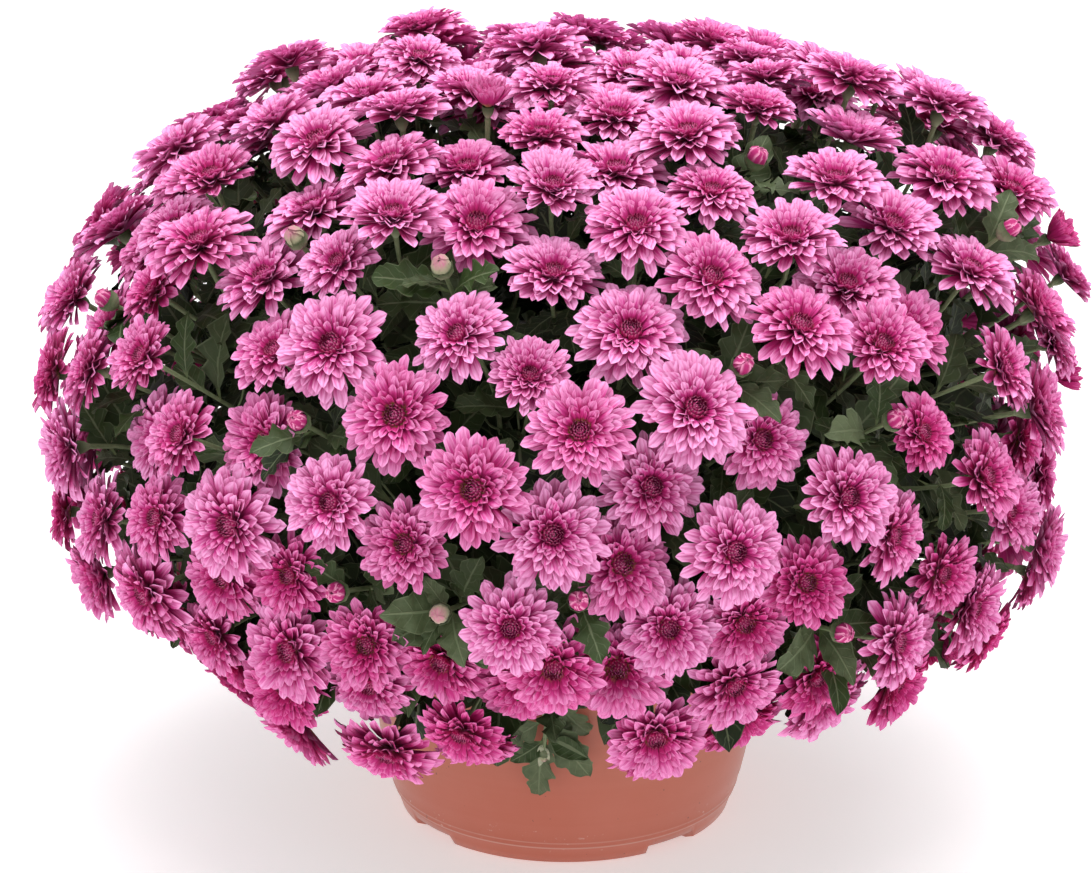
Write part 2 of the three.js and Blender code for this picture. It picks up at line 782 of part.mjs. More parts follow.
const pieces = [
  { name: 'pot', solid: potSolid(), finish: { color: 0xb0654f, roughness: 0.55 } },
  { name: 'potting_soil', solid: soilSolid(), finish: { color: 0x2f241c, roughness: 0.95 } },
  {
    name: 'woody_crown',
    solid: solidOf(turned(crownProfile(0), CROWN.segments)),
    finish: { color: 0x7a6a4e, roughness: 0.85 },
  },
];
sprays.forEach((spray, index) => {
  const growth = growSpray(spray);
  pieces.push({ name: numbered('spray', index), growth, finish: { color: 0xbd5a8e, roughness: 0.6 } });
});
shootPaths.forEach((path, index) => {
  const growth = growShoot(path);
  pieces.push({ name: numbered('leafy_shoot', index), growth, finish: { color: 0x4d5a38, roughness: 0.7 } });
});
for (const piece of pieces) {
  if (piece.growth) piece.solid = piece.growth.shell.solid().subtract(crownRoom);
}

function boxesMeet(a, b) {
  return a.min.every((low, axis) => low < b.max[axis] && b.min[axis] < a.max[axis]);
}

function standsClear(leaf) {
  const box = leaf.boundingBox();
  return pieces.every(({ solid }) => !boxesMeet(box, solid.boundingBox()) || leaf.intersect(solid).isEmpty());
}

pieces.forEach((piece, index) => {
  if (piece.growth) bearLeaves(piece, index);
});

const part = new THREE.Group();

for (const { name, solid, finish } of pieces) {
  const mesh = new THREE.Mesh(
    geometryOf(solid),
    new THREE.MeshStandardMaterial({ ...finish, metalness: 0 }),
  );
  mesh.name = name;
  part.add(mesh);
}

export default part;
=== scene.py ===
"""Pot chrysanthemum: a garden mum grown as a wide dome of double pink blooms in a terracotta bowl pot.

Lengths inside the plant's growth rule are millimetres. Everything that goes into a mesh is in metres,
+Z up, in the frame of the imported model: the origin is the centre of the pot's foot ring, the front is -Y.
"""

import math
from functools import cache

import bpy
import numpy as np
from bpy.props import FloatProperty, FloatVectorProperty, PointerProperty
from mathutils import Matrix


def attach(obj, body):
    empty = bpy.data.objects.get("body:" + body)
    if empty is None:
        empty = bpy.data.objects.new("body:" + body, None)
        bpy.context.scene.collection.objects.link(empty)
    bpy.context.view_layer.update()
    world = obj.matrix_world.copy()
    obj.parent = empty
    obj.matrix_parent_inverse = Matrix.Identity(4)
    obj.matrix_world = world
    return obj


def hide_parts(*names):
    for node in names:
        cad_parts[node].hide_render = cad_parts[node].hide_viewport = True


bl_info = {
    "name": "Pot Chrysanthemum",
    "version": (1, 0, 0),
    "blender": (4, 5, 0),
    "location": "View3D > Sidebar > Mum",
    "description": "Builds a potted garden chrysanthemum in full bloom round its packed frame",
    "category": "Object",
}

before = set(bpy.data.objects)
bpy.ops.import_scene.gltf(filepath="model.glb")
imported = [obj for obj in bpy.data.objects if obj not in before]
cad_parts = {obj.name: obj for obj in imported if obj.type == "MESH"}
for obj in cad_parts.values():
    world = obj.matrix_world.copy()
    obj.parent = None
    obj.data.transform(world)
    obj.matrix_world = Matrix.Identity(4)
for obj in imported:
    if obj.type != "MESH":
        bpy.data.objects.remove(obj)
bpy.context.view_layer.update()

MM = 0.001
UP = np.array([0.0, 0.0, 1.0])
FRONT = np.array([0.0, -1.0, 0.0])
STEEP = 0.9  # an axis that goes up by more than this share of its length is crossed with FRONT, not UP
BANDS = 16  # rows of a leaf's or petal's UV map, one for each tone
BAND_FILL = 0.44  # how far a leaf or petal reaches from its row's middle, in rows
BAKE_MAP = "OFBake"


# ---------------------------------------------------------------- the growth rule, in millimetres

DOME = {"height": 209, "half_width": 240, "above": 168, "below": 137, "side_droop": 4,
        "squareness": 2.38, "lowest": 97}
# Degrees to the right of the front, degrees up, degrees wide, millimetres out.
SWELLINGS = [(72, 38, 20, 18), (-62, -30, 26, 4), (-25, -42, 22, 18), (60, -30, 26, 10),
             (-70, 55, 16, 14), (-85, 2, 22, 2), (88, 0, 24, -4), (100, 70, 22, -2),
             (-100, 35, 18, -4), (165, 78, 14, -7), (25, -48, 20, 8)]
# The gaps in the blooms that the leafy shoots stand in: degrees to the right of the front, degrees up,
# radius.
WINDOWS = [(-29, 13, 17), (-16, 31, 17), (34, 45, 15), (19, 20, 12), (-24, -4, 15), (-13, -5, 16),
           (1, -3, 12), (36, 12, 15), (65, 26, 16), (-38, 32, 13), (30, -10, 14), (-66, 18, 12),
           (151, 20, 15), (190, 34, 15), (120, 10, 14), (-120, 12, 15), (-98, 36, 14), (176, 4, 15),
           (-150, -4, 14)]
RIM_GAP = (-1, -31, 28)  # the same for the gap in front of the shoot that hangs over the rim
BLOOM = {"count": 312, "smallest": 16.5, "largest": 24, "levels": 28, "level_power": 1.5, "skywards": 0.3,
         "under_turn": 0.7, "unevenness": 0.3, "overlap": 0.36, "step": 14, "space": 1.4, "lowest": -0.64,
         "neck_depth": 0.46}
SETTLING = {"rounds": 90, "step": 0.35, "window_step": 0.5, "window_share": 0.75, "floor_step": 0.8,
            "stacked": 34, "near": 60}
GROUPING = {"rounds": 16, "lowest": -0.05}
SPRAY = {"count": 36, "stem_radius": 1.9, "stem_sides": 3, "peduncle_radius": 1.25, "knot_sides": 5,
         "hub": 0.52, "flare": 16, "gather": 0.1, "foot_room": 2.4, "knot_edge": 1.3, "shoot_room": 10}
SHOOT = {"depth": 24, "stem_radius": 1.7, "tip_radius": 1.3, "sides": 3, "whorl_gap": 12, "socket": 3,
         "bud_stalk": 12, "bud_radius": 4.8}
OVER_RIM = [(0, -13, 119), (-3, -78, 116), (-7, -103, 104), (-9, -107, 84)]
LEAF = {"length": 44, "width": 27, "arch": 14, "cupping": 5, "attempts": 7, "turn_step": 0.3,
        "rise_step": 0.12, "turns": 1.2, "smallest": 0.8, "largest": 1.05, "per_node": 8, "fit": 0.1}
SPRAY_LEAVES = {"size": 1.05, "least": 0.9, "spread": 0.5}
SHOOT_LEAVES = {"size": 0.8, "least": 0.35, "spread": 0.5}
CROWN = {"radius": 22, "height": 122, "share": 0.6}
FIXED_NODES = 3  # the pot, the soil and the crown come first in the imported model
SOIL_LEVEL = 87
GOLDEN_ANGLE = math.pi * (3 - math.sqrt(5))
DOME_CENTRE = np.array([0.0, 0.0, DOME["height"]])
APEX = np.array([0.0, 0.0, CROWN["height"]])

# The first stream of each kind of random draw. A kind that needs more of them takes the ones that follow.
STREAMS = {"bloom size": 1, "bloom depth": 2, "bloom lean": 3, "half open": 11, "bloom turn": 13,
           "bloom tone": 14, "bloom cup": 15, "stalk tone": 16, "bloom nod": 17, "leaf turn": 22,
           "leaf rise": 23, "leaf size": 24, "petal": 40, "leaf": 60, "small leaf": 71, "leaf tone": 80}
WORD = np.uint64(0xFFFFFFFF)


def draw(index, kind, step=0):
    """Numbers from 0 to 1, always the same for one index, kind and step: a 32-bit integer hash."""
    value = (np.asarray(index).astype(np.int64) + 1) * 2654435761 + (STREAMS[kind] + step) * 40503
    value = value.view(np.uint64) & WORD
    for shift, factor in ((15, 2246822519), (13, 3266489917)):
        value = ((value ^ (value >> np.uint64(shift))) * np.uint64(factor)) & WORD
    value ^= value >> np.uint64(16)
    return value.astype(float) / 2.0**32


def draws(index, kind, count):
    """The numbers of several streams of one kind, in a list."""
    return [draw(index, kind, step) for step in range(count)]


def unit(vectors):
    """The vectors, each divided by its length."""
    return vectors / np.maximum(np.linalg.norm(vectors, axis=-1, keepdims=True), 1e-12)


def dots(a, b):
    """The scalar product of each pair of vectors, with the last axis kept."""
    return (a * b).sum(-1, keepdims=True)


def crosswise(axes):
    """A unit direction across each unit axis: the cross product with UP, or with FRONT for a steep one."""
    return unit(np.cross(np.where(np.abs(axes[:, 2:]) > STEEP, FRONT, UP), axes))


def turned(vectors, axis, angle):
    """The vectors turned about unit axes by angles: Rodrigues' formula."""
    angle = np.asarray(angle)[..., None]
    return (vectors * np.cos(angle) + np.cross(axis, vectors) * np.sin(angle)
            + axis * dots(axis, vectors) * (1 - np.cos(angle)))


def round_angles(count):
    """Angles in equal steps once round a circle."""
    return np.arange(count) / count * 2 * math.pi


def circle(count, side, other):
    """Unit vectors once round the circle that goes from side to other."""
    turn = round_angles(count)[:, None]
    return np.cos(turn) * side + np.sin(turn) * other


def heading(turn, rise):
    """The unit direction that is turn degrees to the right of the front and rise degrees up."""
    turn, rise = math.radians(turn), math.radians(rise)
    return np.array([math.sin(turn) * math.cos(rise), -math.cos(turn) * math.cos(rise), math.sin(rise)])


def spiral(count, lowest):
    """Directions spread evenly over a sphere from its top down to a height: a golden spiral."""
    index = np.arange(count)
    height = 1 - (index + 0.5) / count * (1 - lowest)
    flat = np.sqrt(1 - height**2)
    turn = index * GOLDEN_ANGLE
    return np.stack([flat * np.sin(turn), -flat * np.cos(turn), height], -1)


def half_height(direction):
    """The dome's half height above or below its widest level; below it changes round the dome."""
    turn = np.arctan2(direction[..., 0], -direction[..., 1])
    below = DOME["below"] - DOME["side_droop"] * np.cos(2 * turn)
    return np.where(direction[..., 2] > 0, DOME["above"], below)


def reach(direction):
    """Distance from the dome's centre to its surface: a superellipse turned round Z plus round swellings."""
    flat = np.hypot(direction[..., 0], direction[..., 1]) / DOME["half_width"]
    tall = np.abs(direction[..., 2]) / half_height(direction)
    power = DOME["squareness"]
    total = (flat**power + tall**power) ** (-1 / power)
    for turn, rise, spread, out in SWELLINGS:
        angle = np.arccos(np.clip(direction @ heading(turn, rise), -1, 1))
        total = total + out * np.exp(-((angle / math.radians(spread)) ** 2))
    return total


def dome_normal(direction):
    """The superellipse's outward normal: the gradient of its implicit form."""
    flat = np.hypot(direction[..., 0], direction[..., 1])
    tall = half_height(direction)
    power = DOME["squareness"] - 1
    outwards = (flat / DOME["half_width"]) ** power / DOME["half_width"]
    upwards = np.sign(direction[..., 2]) * (np.abs(direction[..., 2]) / tall) ** power / tall
    x, y = (direction[..., axis] / flat * outwards for axis in range(2))
    return unit(np.stack([x, y, upwards], -1))


def settle(direction, level, lean):
    """Bloom centres and facings: on the dome less their level, facing along its normal and up to the
    light."""
    direction = unit(direction)
    centre = direction * (reach(direction) - level)[:, None] + DOME_CENTRE
    face = dome_normal(direction)
    face[:, 2] = np.where(face[:, 2] < 0, face[:, 2] * BLOOM["under_turn"], face[:, 2]) + BLOOM["skywards"]
    return direction, centre, unit(face + lean)


def shoves(centre, face, radius):
    """How far each bloom is pushed by the ones it meets, across their common axis. Blooms at different
    depths may overlap a little."""
    between = centre[None] - centre[:, None]
    distance = np.linalg.norm(between, axis=-1)
    axis = unit(face[None] + face[:, None])
    rise = dots(between, axis)
    between = between - axis * rise
    rise = np.abs(rise[..., 0])
    apart = np.linalg.norm(between, axis=-1) + 1e-9
    eased = 1 - BLOOM["overlap"] * np.minimum(rise / BLOOM["step"], 1)
    short = (radius[None] + radius[:, None]) * eased + BLOOM["space"] - apart
    meets = (short > 0) & (rise <= SETTLING["stacked"]) & (distance <= SETTLING["near"])
    np.fill_diagonal(meets, False)
    push = np.where(meets, -short * SETTLING["step"] / apart, 0)
    return (between * push[..., None]).sum(1)


def place_blooms():
    """Where the blooms sit: a golden spiral on the dome, then rounds in which blooms that are too close
    push each other apart, windows push them out and the lowest level pushes them up."""
    index = np.arange(BLOOM["count"])
    direction = spiral(BLOOM["count"], BLOOM["lowest"])
    radius = BLOOM["smallest"] + (BLOOM["largest"] - BLOOM["smallest"]) * np.sqrt(draw(index, "bloom size"))
    level = BLOOM["levels"] * draw(index, "bloom depth") ** BLOOM["level_power"]
    lean = (np.stack(draws(index, "bloom lean", 3), -1) - 0.5) * BLOOM["unevenness"]
    gaps = [*WINDOWS, RIM_GAP]
    openings = np.array([heading(turn, rise) for turn, rise, _ in gaps])
    openings = openings * reach(openings)[:, None] + DOME_CENTRE
    room = np.array([gap[2] for gap in gaps])
    for _ in range(SETTLING["rounds"]):
        direction, centre, face = settle(direction, level, lean)
        move = shoves(centre, face, radius)
        away = centre[:, None] - openings[None]
        apart = np.linalg.norm(away, axis=-1) + 1e-9
        short = np.maximum(room[None] + radius[:, None] * SETTLING["window_share"] - apart, 0)
        move += (away * (short * SETTLING["window_step"] / apart)[..., None]).sum(1)
        move[:, 2] += np.maximum(DOME["lowest"] - centre[:, 2], 0) * SETTLING["floor_step"]
        direction = centre + move - DOME_CENTRE
    direction, centre, face = settle(direction, level, lean)
    return {"index": index, "radius": radius, "centre": centre, "face": face}


def shoot_paths():
    """The way of each leafy shoot: straight from the crown to just under its window, and one over the rim."""
    paths = []
    for turn, rise, _ in WINDOWS:
        direction = heading(turn, rise)
        point = direction * reach(direction) + DOME_CENTRE
        axis = unit(point - APEX)
        start = APEX + axis * CROWN["radius"] * CROWN["share"]
        paths.append(np.array([start, point - axis * SHOOT["depth"]]))
    paths.append(np.array(OVER_RIM, float))
    return paths


def group_blooms(blooms, paths):
    """The spray that carries each bloom: clusters of like directions from the crown, kept off the shoots."""
    shoots = unit(np.array([path[0] for path in paths]) - APEX)
    axes = spiral(SPRAY["count"], GROUPING["lowest"])
    rays = unit(blooms["centre"] - APEX)
    room = math.radians(SPRAY["shoot_room"])
    for step in range(GROUPING["rounds"]):
        for shoot in shoots:
            angle = np.arccos(np.clip(axes @ shoot, -1, 1))
            hinge = unit(np.cross(shoot, axes))
            axes = np.where((angle < room)[:, None], turned(axes, hinge, room - angle), axes)
        spray = np.argmax(rays @ axes.T, axis=1)
        if step < GROUPING["rounds"] - 1:
            axes = unit(np.array([rays[spray == k].sum(0) for k in range(SPRAY["count"])]))
    return axes, spray


def across(axis):
    """Two directions across one axis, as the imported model's rule has them."""
    helper = FRONT if abs(axis[2]) > 0.95 else UP
    side = unit(np.cross(helper, axis))
    return side, np.cross(axis, side)


def ring_around(centre, axis, radius, count, side):
    """Points round an axis, turning to the left of it from a side direction."""
    first = unit(side - axis * (side @ axis)) * radius
    return turned(np.tile(first, (count, 1)), axis, round_angles(count)) + centre


def sockets_between(lower, upper):
    """The faces with two corners on the lower of two rings, out of which leaves can grow."""
    found, a, b = [], 0, 0
    while a < len(upper) or b < len(lower):
        upper_next = a < len(upper) and (a + 0.5) / len(upper) <= (b + 0.5) / len(lower)
        if upper_next or b >= len(lower):
            a += 1
        else:
            b += 1
            found.append((lower[b - 1], lower[b % len(lower)]))
    return found


def spray_frame(axis, centres):
    """A spray's hub, the spots on it where its peduncles start, and the sockets of its leaves."""
    far = np.linalg.norm(centres - APEX, axis=1).mean()
    hub = APEX + axis * far * SPRAY["hub"]
    side, other = across(axis)
    spots = np.stack([(centres - hub) @ side, (centres - hub) @ other], -1) * SPRAY["gather"]
    room = SPRAY["peduncle_radius"] * SPRAY["foot_room"]
    for _ in range(GROUPING["rounds"]):
        for i in range(len(spots)):
            for j in range(i):
                between = spots[i] - spots[j]
                length = math.hypot(*between)
                move = between / max(length, 1e-12) * max(room - length, 0) / 2
                spots[i] += move
                spots[j] -= move
    widest = np.linalg.norm(spots, axis=1).max()
    knot = (widest + SPRAY["peduncle_radius"] * SPRAY["knot_edge"]) / math.cos(math.pi / SPRAY["knot_sides"])
    lower = ring_around(hub - axis * SPRAY["flare"], axis, SPRAY["stem_radius"], SPRAY["stem_sides"], side)
    upper = ring_around(hub, axis, knot, SPRAY["knot_sides"], side)
    roots = hub + spots[:, :1] * side + spots[:, 1:] * other
    return {"hub": hub, "roots": roots, "axis": axis, "sockets": sockets_between(lower, upper), "knot": knot}


def shoot_frame(path):
    """A leafy shoot's tip, its axis there and the sockets of its two whorls of leaves."""
    sideways = np.cross(UP, path[1] - path[0])
    axis = unit(path[-1] - path[-2])
    rings = [ring_around(path[-1] - axis * back, axis, SHOOT["tip_radius"], SHOOT["sides"], sideways)
             for back in (SHOOT["whorl_gap"] + SHOOT["socket"], SHOOT["whorl_gap"], SHOOT["socket"], 0)]
    sockets = sockets_between(rings[0], rings[1]) + sockets_between(rings[2], rings[3])[1:]
    return {"path": path, "axis": axis, "sockets": sockets}


def packed_node(name):
    """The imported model's object of that name. Without it no piece can take its place."""
    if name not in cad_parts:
        raise RuntimeError(f"the packed model has no node {name}")
    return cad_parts[name]


def frame_leaves(growth, owner, lean):
    """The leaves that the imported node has: of each socket's possible ones, the one whose tip is in it."""
    node = packed_node(growth["name"])
    points = np.empty(len(node.data.vertices) * 3)
    node.data.vertices.foreach_get("co", points)
    points = points.reshape(-1, 3) / MM
    leaves = []
    for index, (first, second) in enumerate(growth["sockets"]):
        axis = growth["axis"]
        foot = (first + second) / 2
        out = unit(np.cross(second - first, axis))
        key = owner * LEAF["per_node"] + index
        grown = LEAF["smallest"] + (LEAF["largest"] - LEAF["smallest"]) * draw(key, "leaf size")
        size = lean["size"] * grown
        turn = (draw(key, "leaf turn") - 0.5) * LEAF["turns"]
        rise = lean["least"] + lean["spread"] * draw(key, "leaf rise")
        for attempt in range(LEAF["attempts"]):
            sign = 1 if attempt % 2 else -1
            swing = turn + LEAF["turn_step"] * math.ceil(attempt / 2) * sign
            along = unit(turned(out, axis, swing) + axis * (rise + attempt * LEAF["rise_step"]))
            tip = foot + along * LEAF["length"] * size
            if np.linalg.norm(points - tip, axis=1).min() < LEAF["fit"]:
                leaves.append({"foot": foot, "along": along, "face": axis, "size": size})
                break
    return leaves


@cache
def plant():
    """The grown plant, worked out once: its blooms, its sprays and its leafy shoots."""
    blooms = place_blooms()
    paths = shoot_paths()
    axes, spray = group_blooms(blooms, paths)
    sprays, shoots = [], []
    for k in range(SPRAY["count"]):
        members = np.flatnonzero(spray == k)
        growth = spray_frame(axes[k], blooms["centre"][members])
        growth.update(name=f"spray_{k + 1:02d}", members=members)
        growth["leaves"] = frame_leaves(growth, FIXED_NODES + k, SPRAY_LEAVES)
        sprays.append(growth)
    for k, path in enumerate(paths):
        growth = shoot_frame(path)
        growth["name"] = f"leafy_shoot_{k + 1:02d}"
        growth["leaves"] = frame_leaves(growth, FIXED_NODES + SPRAY["count"] + k, SHOOT_LEAVES)
        shoots.append(growth)
    return {"blooms": blooms, "sprays": sprays, "shoots": shoots}


# ---------------------------------------------------------------- surfaces

def quads_of(count, rows, columns, wrap=False):
    """Corner numbers of the faces of count equal grids, rows by columns points each, one after another.
    With wrap, each row closes on itself."""
    strips = columns if wrap else columns - 1
    row, column = np.meshgrid(np.arange(rows - 1), np.arange(strips), indexing="ij")
    beside = (column + 1) % columns
    face = np.stack([row * columns + column, row * columns + beside,
                     (row + 1) * columns + beside, (row + 1) * columns + column], -1).reshape(-1, 4)
    return (face[None] + np.arange(count)[:, None, None] * rows * columns).reshape(-1, 4)


class Surface:
    """Grids of points gathered into one mesh: points in millimetres, and a map position for each."""

    def __init__(self):
        self.points, self.places, self.faces, self.total = [], [], [], 0

    def add(self, points, places=(0.0, 0.0), wrap=False):
        """Adds grids, shaped (count, rows, columns, 3), with map positions (count, rows, columns, 2)."""
        count, rows, columns, _ = points.shape
        self.points.append(points.reshape(-1, 3))
        self.places.append(np.broadcast_to(places, (*points.shape[:3], 2)).reshape(-1, 2))
        self.faces.append(quads_of(count, rows, columns, wrap) + self.total)
        self.total += count * rows * columns

    def add_turned(self, radius, height, count):
        """Adds a body turned round Z: radii and heights, (rows, 1) or (rows, count), from the middle of
        its underside over its outside to the middle of its top."""
        turn = round_angles(count)
        around = np.broadcast_arrays(radius * np.cos(turn), radius * np.sin(turn), height)
        self.add(np.stack(around, -1)[None, ::-1], wrap=True)

    def piece(self, name, material, slot, node, mapped=True):
        """Makes the mesh object, in metres, and hands it to the frame in place of the node."""
        packed_node(node)
        points = np.concatenate(self.points) * MM
        faces = np.concatenate(self.faces)
        mesh = bpy.data.meshes.new(name)
        mesh.vertices.add(len(points))
        mesh.vertices.foreach_set("co", points.astype(np.float32).ravel())
        mesh.loops.add(faces.size)
        mesh.loops.foreach_set("vertex_index", faces.astype(np.int32).ravel())
        mesh.polygons.add(len(faces))
        mesh.polygons.foreach_set("loop_start", np.arange(0, faces.size, 4, dtype=np.int32))
        mesh.polygons.foreach_set("use_smooth", np.ones(len(faces), bool))
        if mapped:
            places = np.concatenate(self.places)[faces.ravel()]
            layer = mesh.uv_layers.new(name=BAKE_MAP)
            layer.uv.foreach_set("vector", places.astype(np.float32).ravel())
        mesh.update(calc_edges=True)
        mesh.validate()
        mesh.materials.append(material)
        piece = bpy.data.objects.new(name, mesh)
        bpy.context.scene.collection.objects.link(piece)
        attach(piece, "root")
        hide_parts(node)


def band_places(along, side, band):
    """Map positions: along a leaf or petal, and across it inside the row of its tone."""
    height = (np.asarray(band) + 0.5 + BAND_FILL * side) / BANDS
    return np.stack(np.broadcast_arrays(along, height), -1)


# ---------------------------------------------------------------- petals

# One row for each ring of petals or florets, from the outermost in. As shares of the bloom's radius: how far
# out they start and reach, their width, the height of their foot and how deep their edges are rolled up.
# In degrees over the bloom's plane: the slope at which they start and end. And their tone, mostly lower for
# the inner rings, whose petals the petal material paints darker as painted shade deep in the bloom.
RING_KEYS = ("count", "inner", "reach", "width", "foot", "roll", "start", "end", "tone")
RINGS = [dict(zip(RING_KEYS, row)) for row in (
    (17, 0.10, 1.05, 0.240, -0.15, 0.24, 8, -14, 11.0),
    (19, 0.11, 1.00, 0.235, -0.12, 0.26, 15, -6, 11.3),
    (20, 0.12, 0.92, 0.225, -0.09, 0.28, 23, 2, 11.2),
    (20, 0.14, 0.83, 0.208, -0.07, 0.30, 31, 10, 11.0),
    (19, 0.16, 0.72, 0.186, -0.05, 0.33, 40, 20, 10.8),
    (16, 0.18, 0.60, 0.160, -0.03, 0.36, 50, 32, 10.2),
    (13, 0.20, 0.47, 0.132, 0.00, 0.40, 62, 48, 9.2),
)]
FINE_RINGS = 3  # how many rings, from the outermost in, have finely outlined petals
# The closed florets of the eye, which lean in over it.
EYE_RINGS = [dict(zip(RING_KEYS, row)) for row in (
    (14, 0.210, 0.37, 0.090, 0.01, 0.5, 82, 116, 3),
    (11, 0.160, 0.31, 0.086, 0.03, 0.5, 84, 124, 2),
    (8, 0.105, 0.25, 0.082, 0.04, 0.5, 84, 128, 1),
    (4, 0.050, 0.18, 0.078, 0.06, 0.5, 84, 128, 0),
)]
# The petals of a closed bud, which meet over it, as shares of its radius.
BUD_RINGS = [dict(zip(RING_KEYS, row)) for row in (
    (9, 0.12, 2.75, 0.86, -0.62, 0.16, 8, 172, 3),
    (9, 0.12, 2.55, 0.84, -0.55, 0.16, 14, 166, 2),
)]
PALE_BUD = 4  # tone of a bud that is still green-white; florets have lower tones and petals higher ones
# Shares of a petal's length, and its width there as a share of its greatest.
PETAL_FINE = np.array([0.0, 0.40, 0.73, 0.91, 1.0]), np.array([0.34, 0.70, 1.0, 0.93, 0.48])
PETAL_PLAIN = np.array([0.0, 0.55, 0.86, 1.0]), np.array([0.36, 0.90, 1.0, 0.52])
FLORET = np.array([0.0, 0.6, 1.0]), np.array([0.8, 1.0, 0.7])
TIP_POINT = 0.022  # how far a petal's middle runs ahead of its edges at its tip
PETAL_SIDES = np.array([-1.0, 0.0, 1.0])
# How far single petals stray from their ring: in steps round it, degrees or shares, times -0.5 to 0.5.
STRAY = {"turn": 0.8, "start": 14, "end": 30, "length": 0.20, "width": 0.24, "twist": 0.9, "sway": 0.22}
FLORET_STRAY = 0.5  # the share of it that florets take
LONG_PALE = 20  # how much higher in tone a petal is for being longer by its whole length
RING_TURN = 2.4  # how far each ring is turned from the one outside it, in radians
PETAL_KEYS = {"bloom": 211, "ring": 17, "petal": 5003}
# What a bloom that isn't open yet is like, for a cup of 1: the slopes that its petals have, in degrees, and
# how much shorter, narrower, closer to its axis and lower in tone they are.
CLOSED = {"start": 44, "end": 128, "shorter": 0.35, "narrower": 0.35, "gathered": 0.45, "tone": 4}


def petal_grid(ring, outline, blooms, order):
    """Petals of one ring of many blooms, as grids of 3 points for each of the outline's rows.

    A petal's middle line lies in a plane through the bloom's axis. Its slope goes evenly from start to
    end along it, so a point on it is the sum of the steps before it. Each point to the side of that line
    is moved out by half the width there, and up by the roll times the width.
    """
    rows, widths = outline
    count = ring["count"]
    petal = np.arange(count)[None]
    key = blooms["index"][:, None] * PETAL_KEYS["bloom"] + order * PETAL_KEYS["ring"]
    key = key + petal * PETAL_KEYS["petal"]
    stray = {name: most * (number - 0.5)
             for (name, most), number in zip(STRAY.items(), draws(key, "petal", len(STRAY)))}
    floret = ring["tone"] <= PALE_BUD
    wild = FLORET_STRAY if floret else 1.0
    cup = blooms["cup"][:, None]
    turn = (petal + wild * stray["turn"]) / count * 2 * math.pi + blooms["phase"][:, None] + order * RING_TURN
    start, end = (np.radians(ring[at] + wild * stray[at] + cup * max(CLOSED[at] - ring[at], 0))
                  for at in ("start", "end"))
    length = (ring["reach"] - ring["inner"]) * (1 + wild * stray["length"] - CLOSED["shorter"] * cup)
    width = ring["width"] * (1 + stray["width"]) * (1 - CLOSED["narrower"] * cup)

    angle = start[..., None] + (end - start)[..., None] * (rows[1:] + rows[:-1]) / 2
    step = np.diff(rows) * length[..., None]
    foot = np.zeros_like(length)[..., None]
    out = np.concatenate([foot, np.cumsum(step * np.cos(angle), -1)], -1)
    out = out + ring["inner"] * (1 - CLOSED["gathered"] * cup[..., None])
    high = ring["foot"] + np.concatenate([foot, np.cumsum(step * np.sin(angle), -1)], -1)
    slope = (start[..., None] + (end - start)[..., None] * rows)[..., None]

    half = (width[..., None] * widths / 2)[..., None]
    sway = wild * stray["sway"][..., None, None] * rows[:, None] ** 2 * length[..., None, None]
    spread = half * PETAL_SIDES + sway
    twist = wild * stray["twist"][..., None, None] * PETAL_SIDES
    roll = half * (2 * ring["roll"] * PETAL_SIDES**2 + twist)
    ahead = np.zeros((len(rows), 3))
    ahead[-1] = TIP_POINT * (1 - 2 * np.abs(PETAL_SIDES))
    ahead = ahead * length[..., None, None]
    out = out[..., None] - roll * np.sin(slope) + ahead * np.cos(slope)
    high = high[..., None] + roll * np.cos(slope) + ahead * np.sin(slope)

    face = blooms["face"][:, None]
    ray = (np.cos(turn)[..., None] * blooms["side"][:, None]
           + np.sin(turn)[..., None] * blooms["other"][:, None])
    flank = np.cross(face, ray)[:, :, None, None]
    points = (out[..., None] * ray[:, :, None, None] + high[..., None] * face[:, :, None, None]
              + spread[..., None] * flank)
    points = blooms["centre"][:, None, None, None] + blooms["radius"][:, None, None, None, None] * points
    if floret:
        band = np.full(key.shape, float(ring["tone"]))
    else:
        tone = ring["tone"] + blooms["tone"][:, None] + LONG_PALE * stray["length"] - CLOSED["tone"] * cup
        band = np.clip(np.rint(tone), PALE_BUD + 1, BANDS - 1)
    places = band_places(rows[None, None, :, None], PETAL_SIDES, band[..., None, None])
    return points.reshape(-1, len(rows), 3, 3), places.reshape(-1, len(rows), 3, 2)


BACK_LIFT = 0.35  # how much the blooms at the back, away from the light, stretch upwards
HALF_OPEN = {"largest": 18.4, "cup": 0.62, "tone": 3}
OPEN_CUP = 0.22  # the most that an open bloom is cupped
# Whole blooms differ in tone: by chance, by radius, and by painted light and shade, paler above a certain
# height, where the light from above falls, and darker below another.
TONE_SPREAD = 5
TONE_BY_RADIUS = {"middling": 20.5, "step": 0.35}
HIGH_BLOOMS_PAINTED_LIGHT = {"from": 260, "per_tone": 30, "most": 3}
LOW_BLOOMS_PAINTED_SHADE = {"from": 200, "per_tone": 28, "most": 3.6}


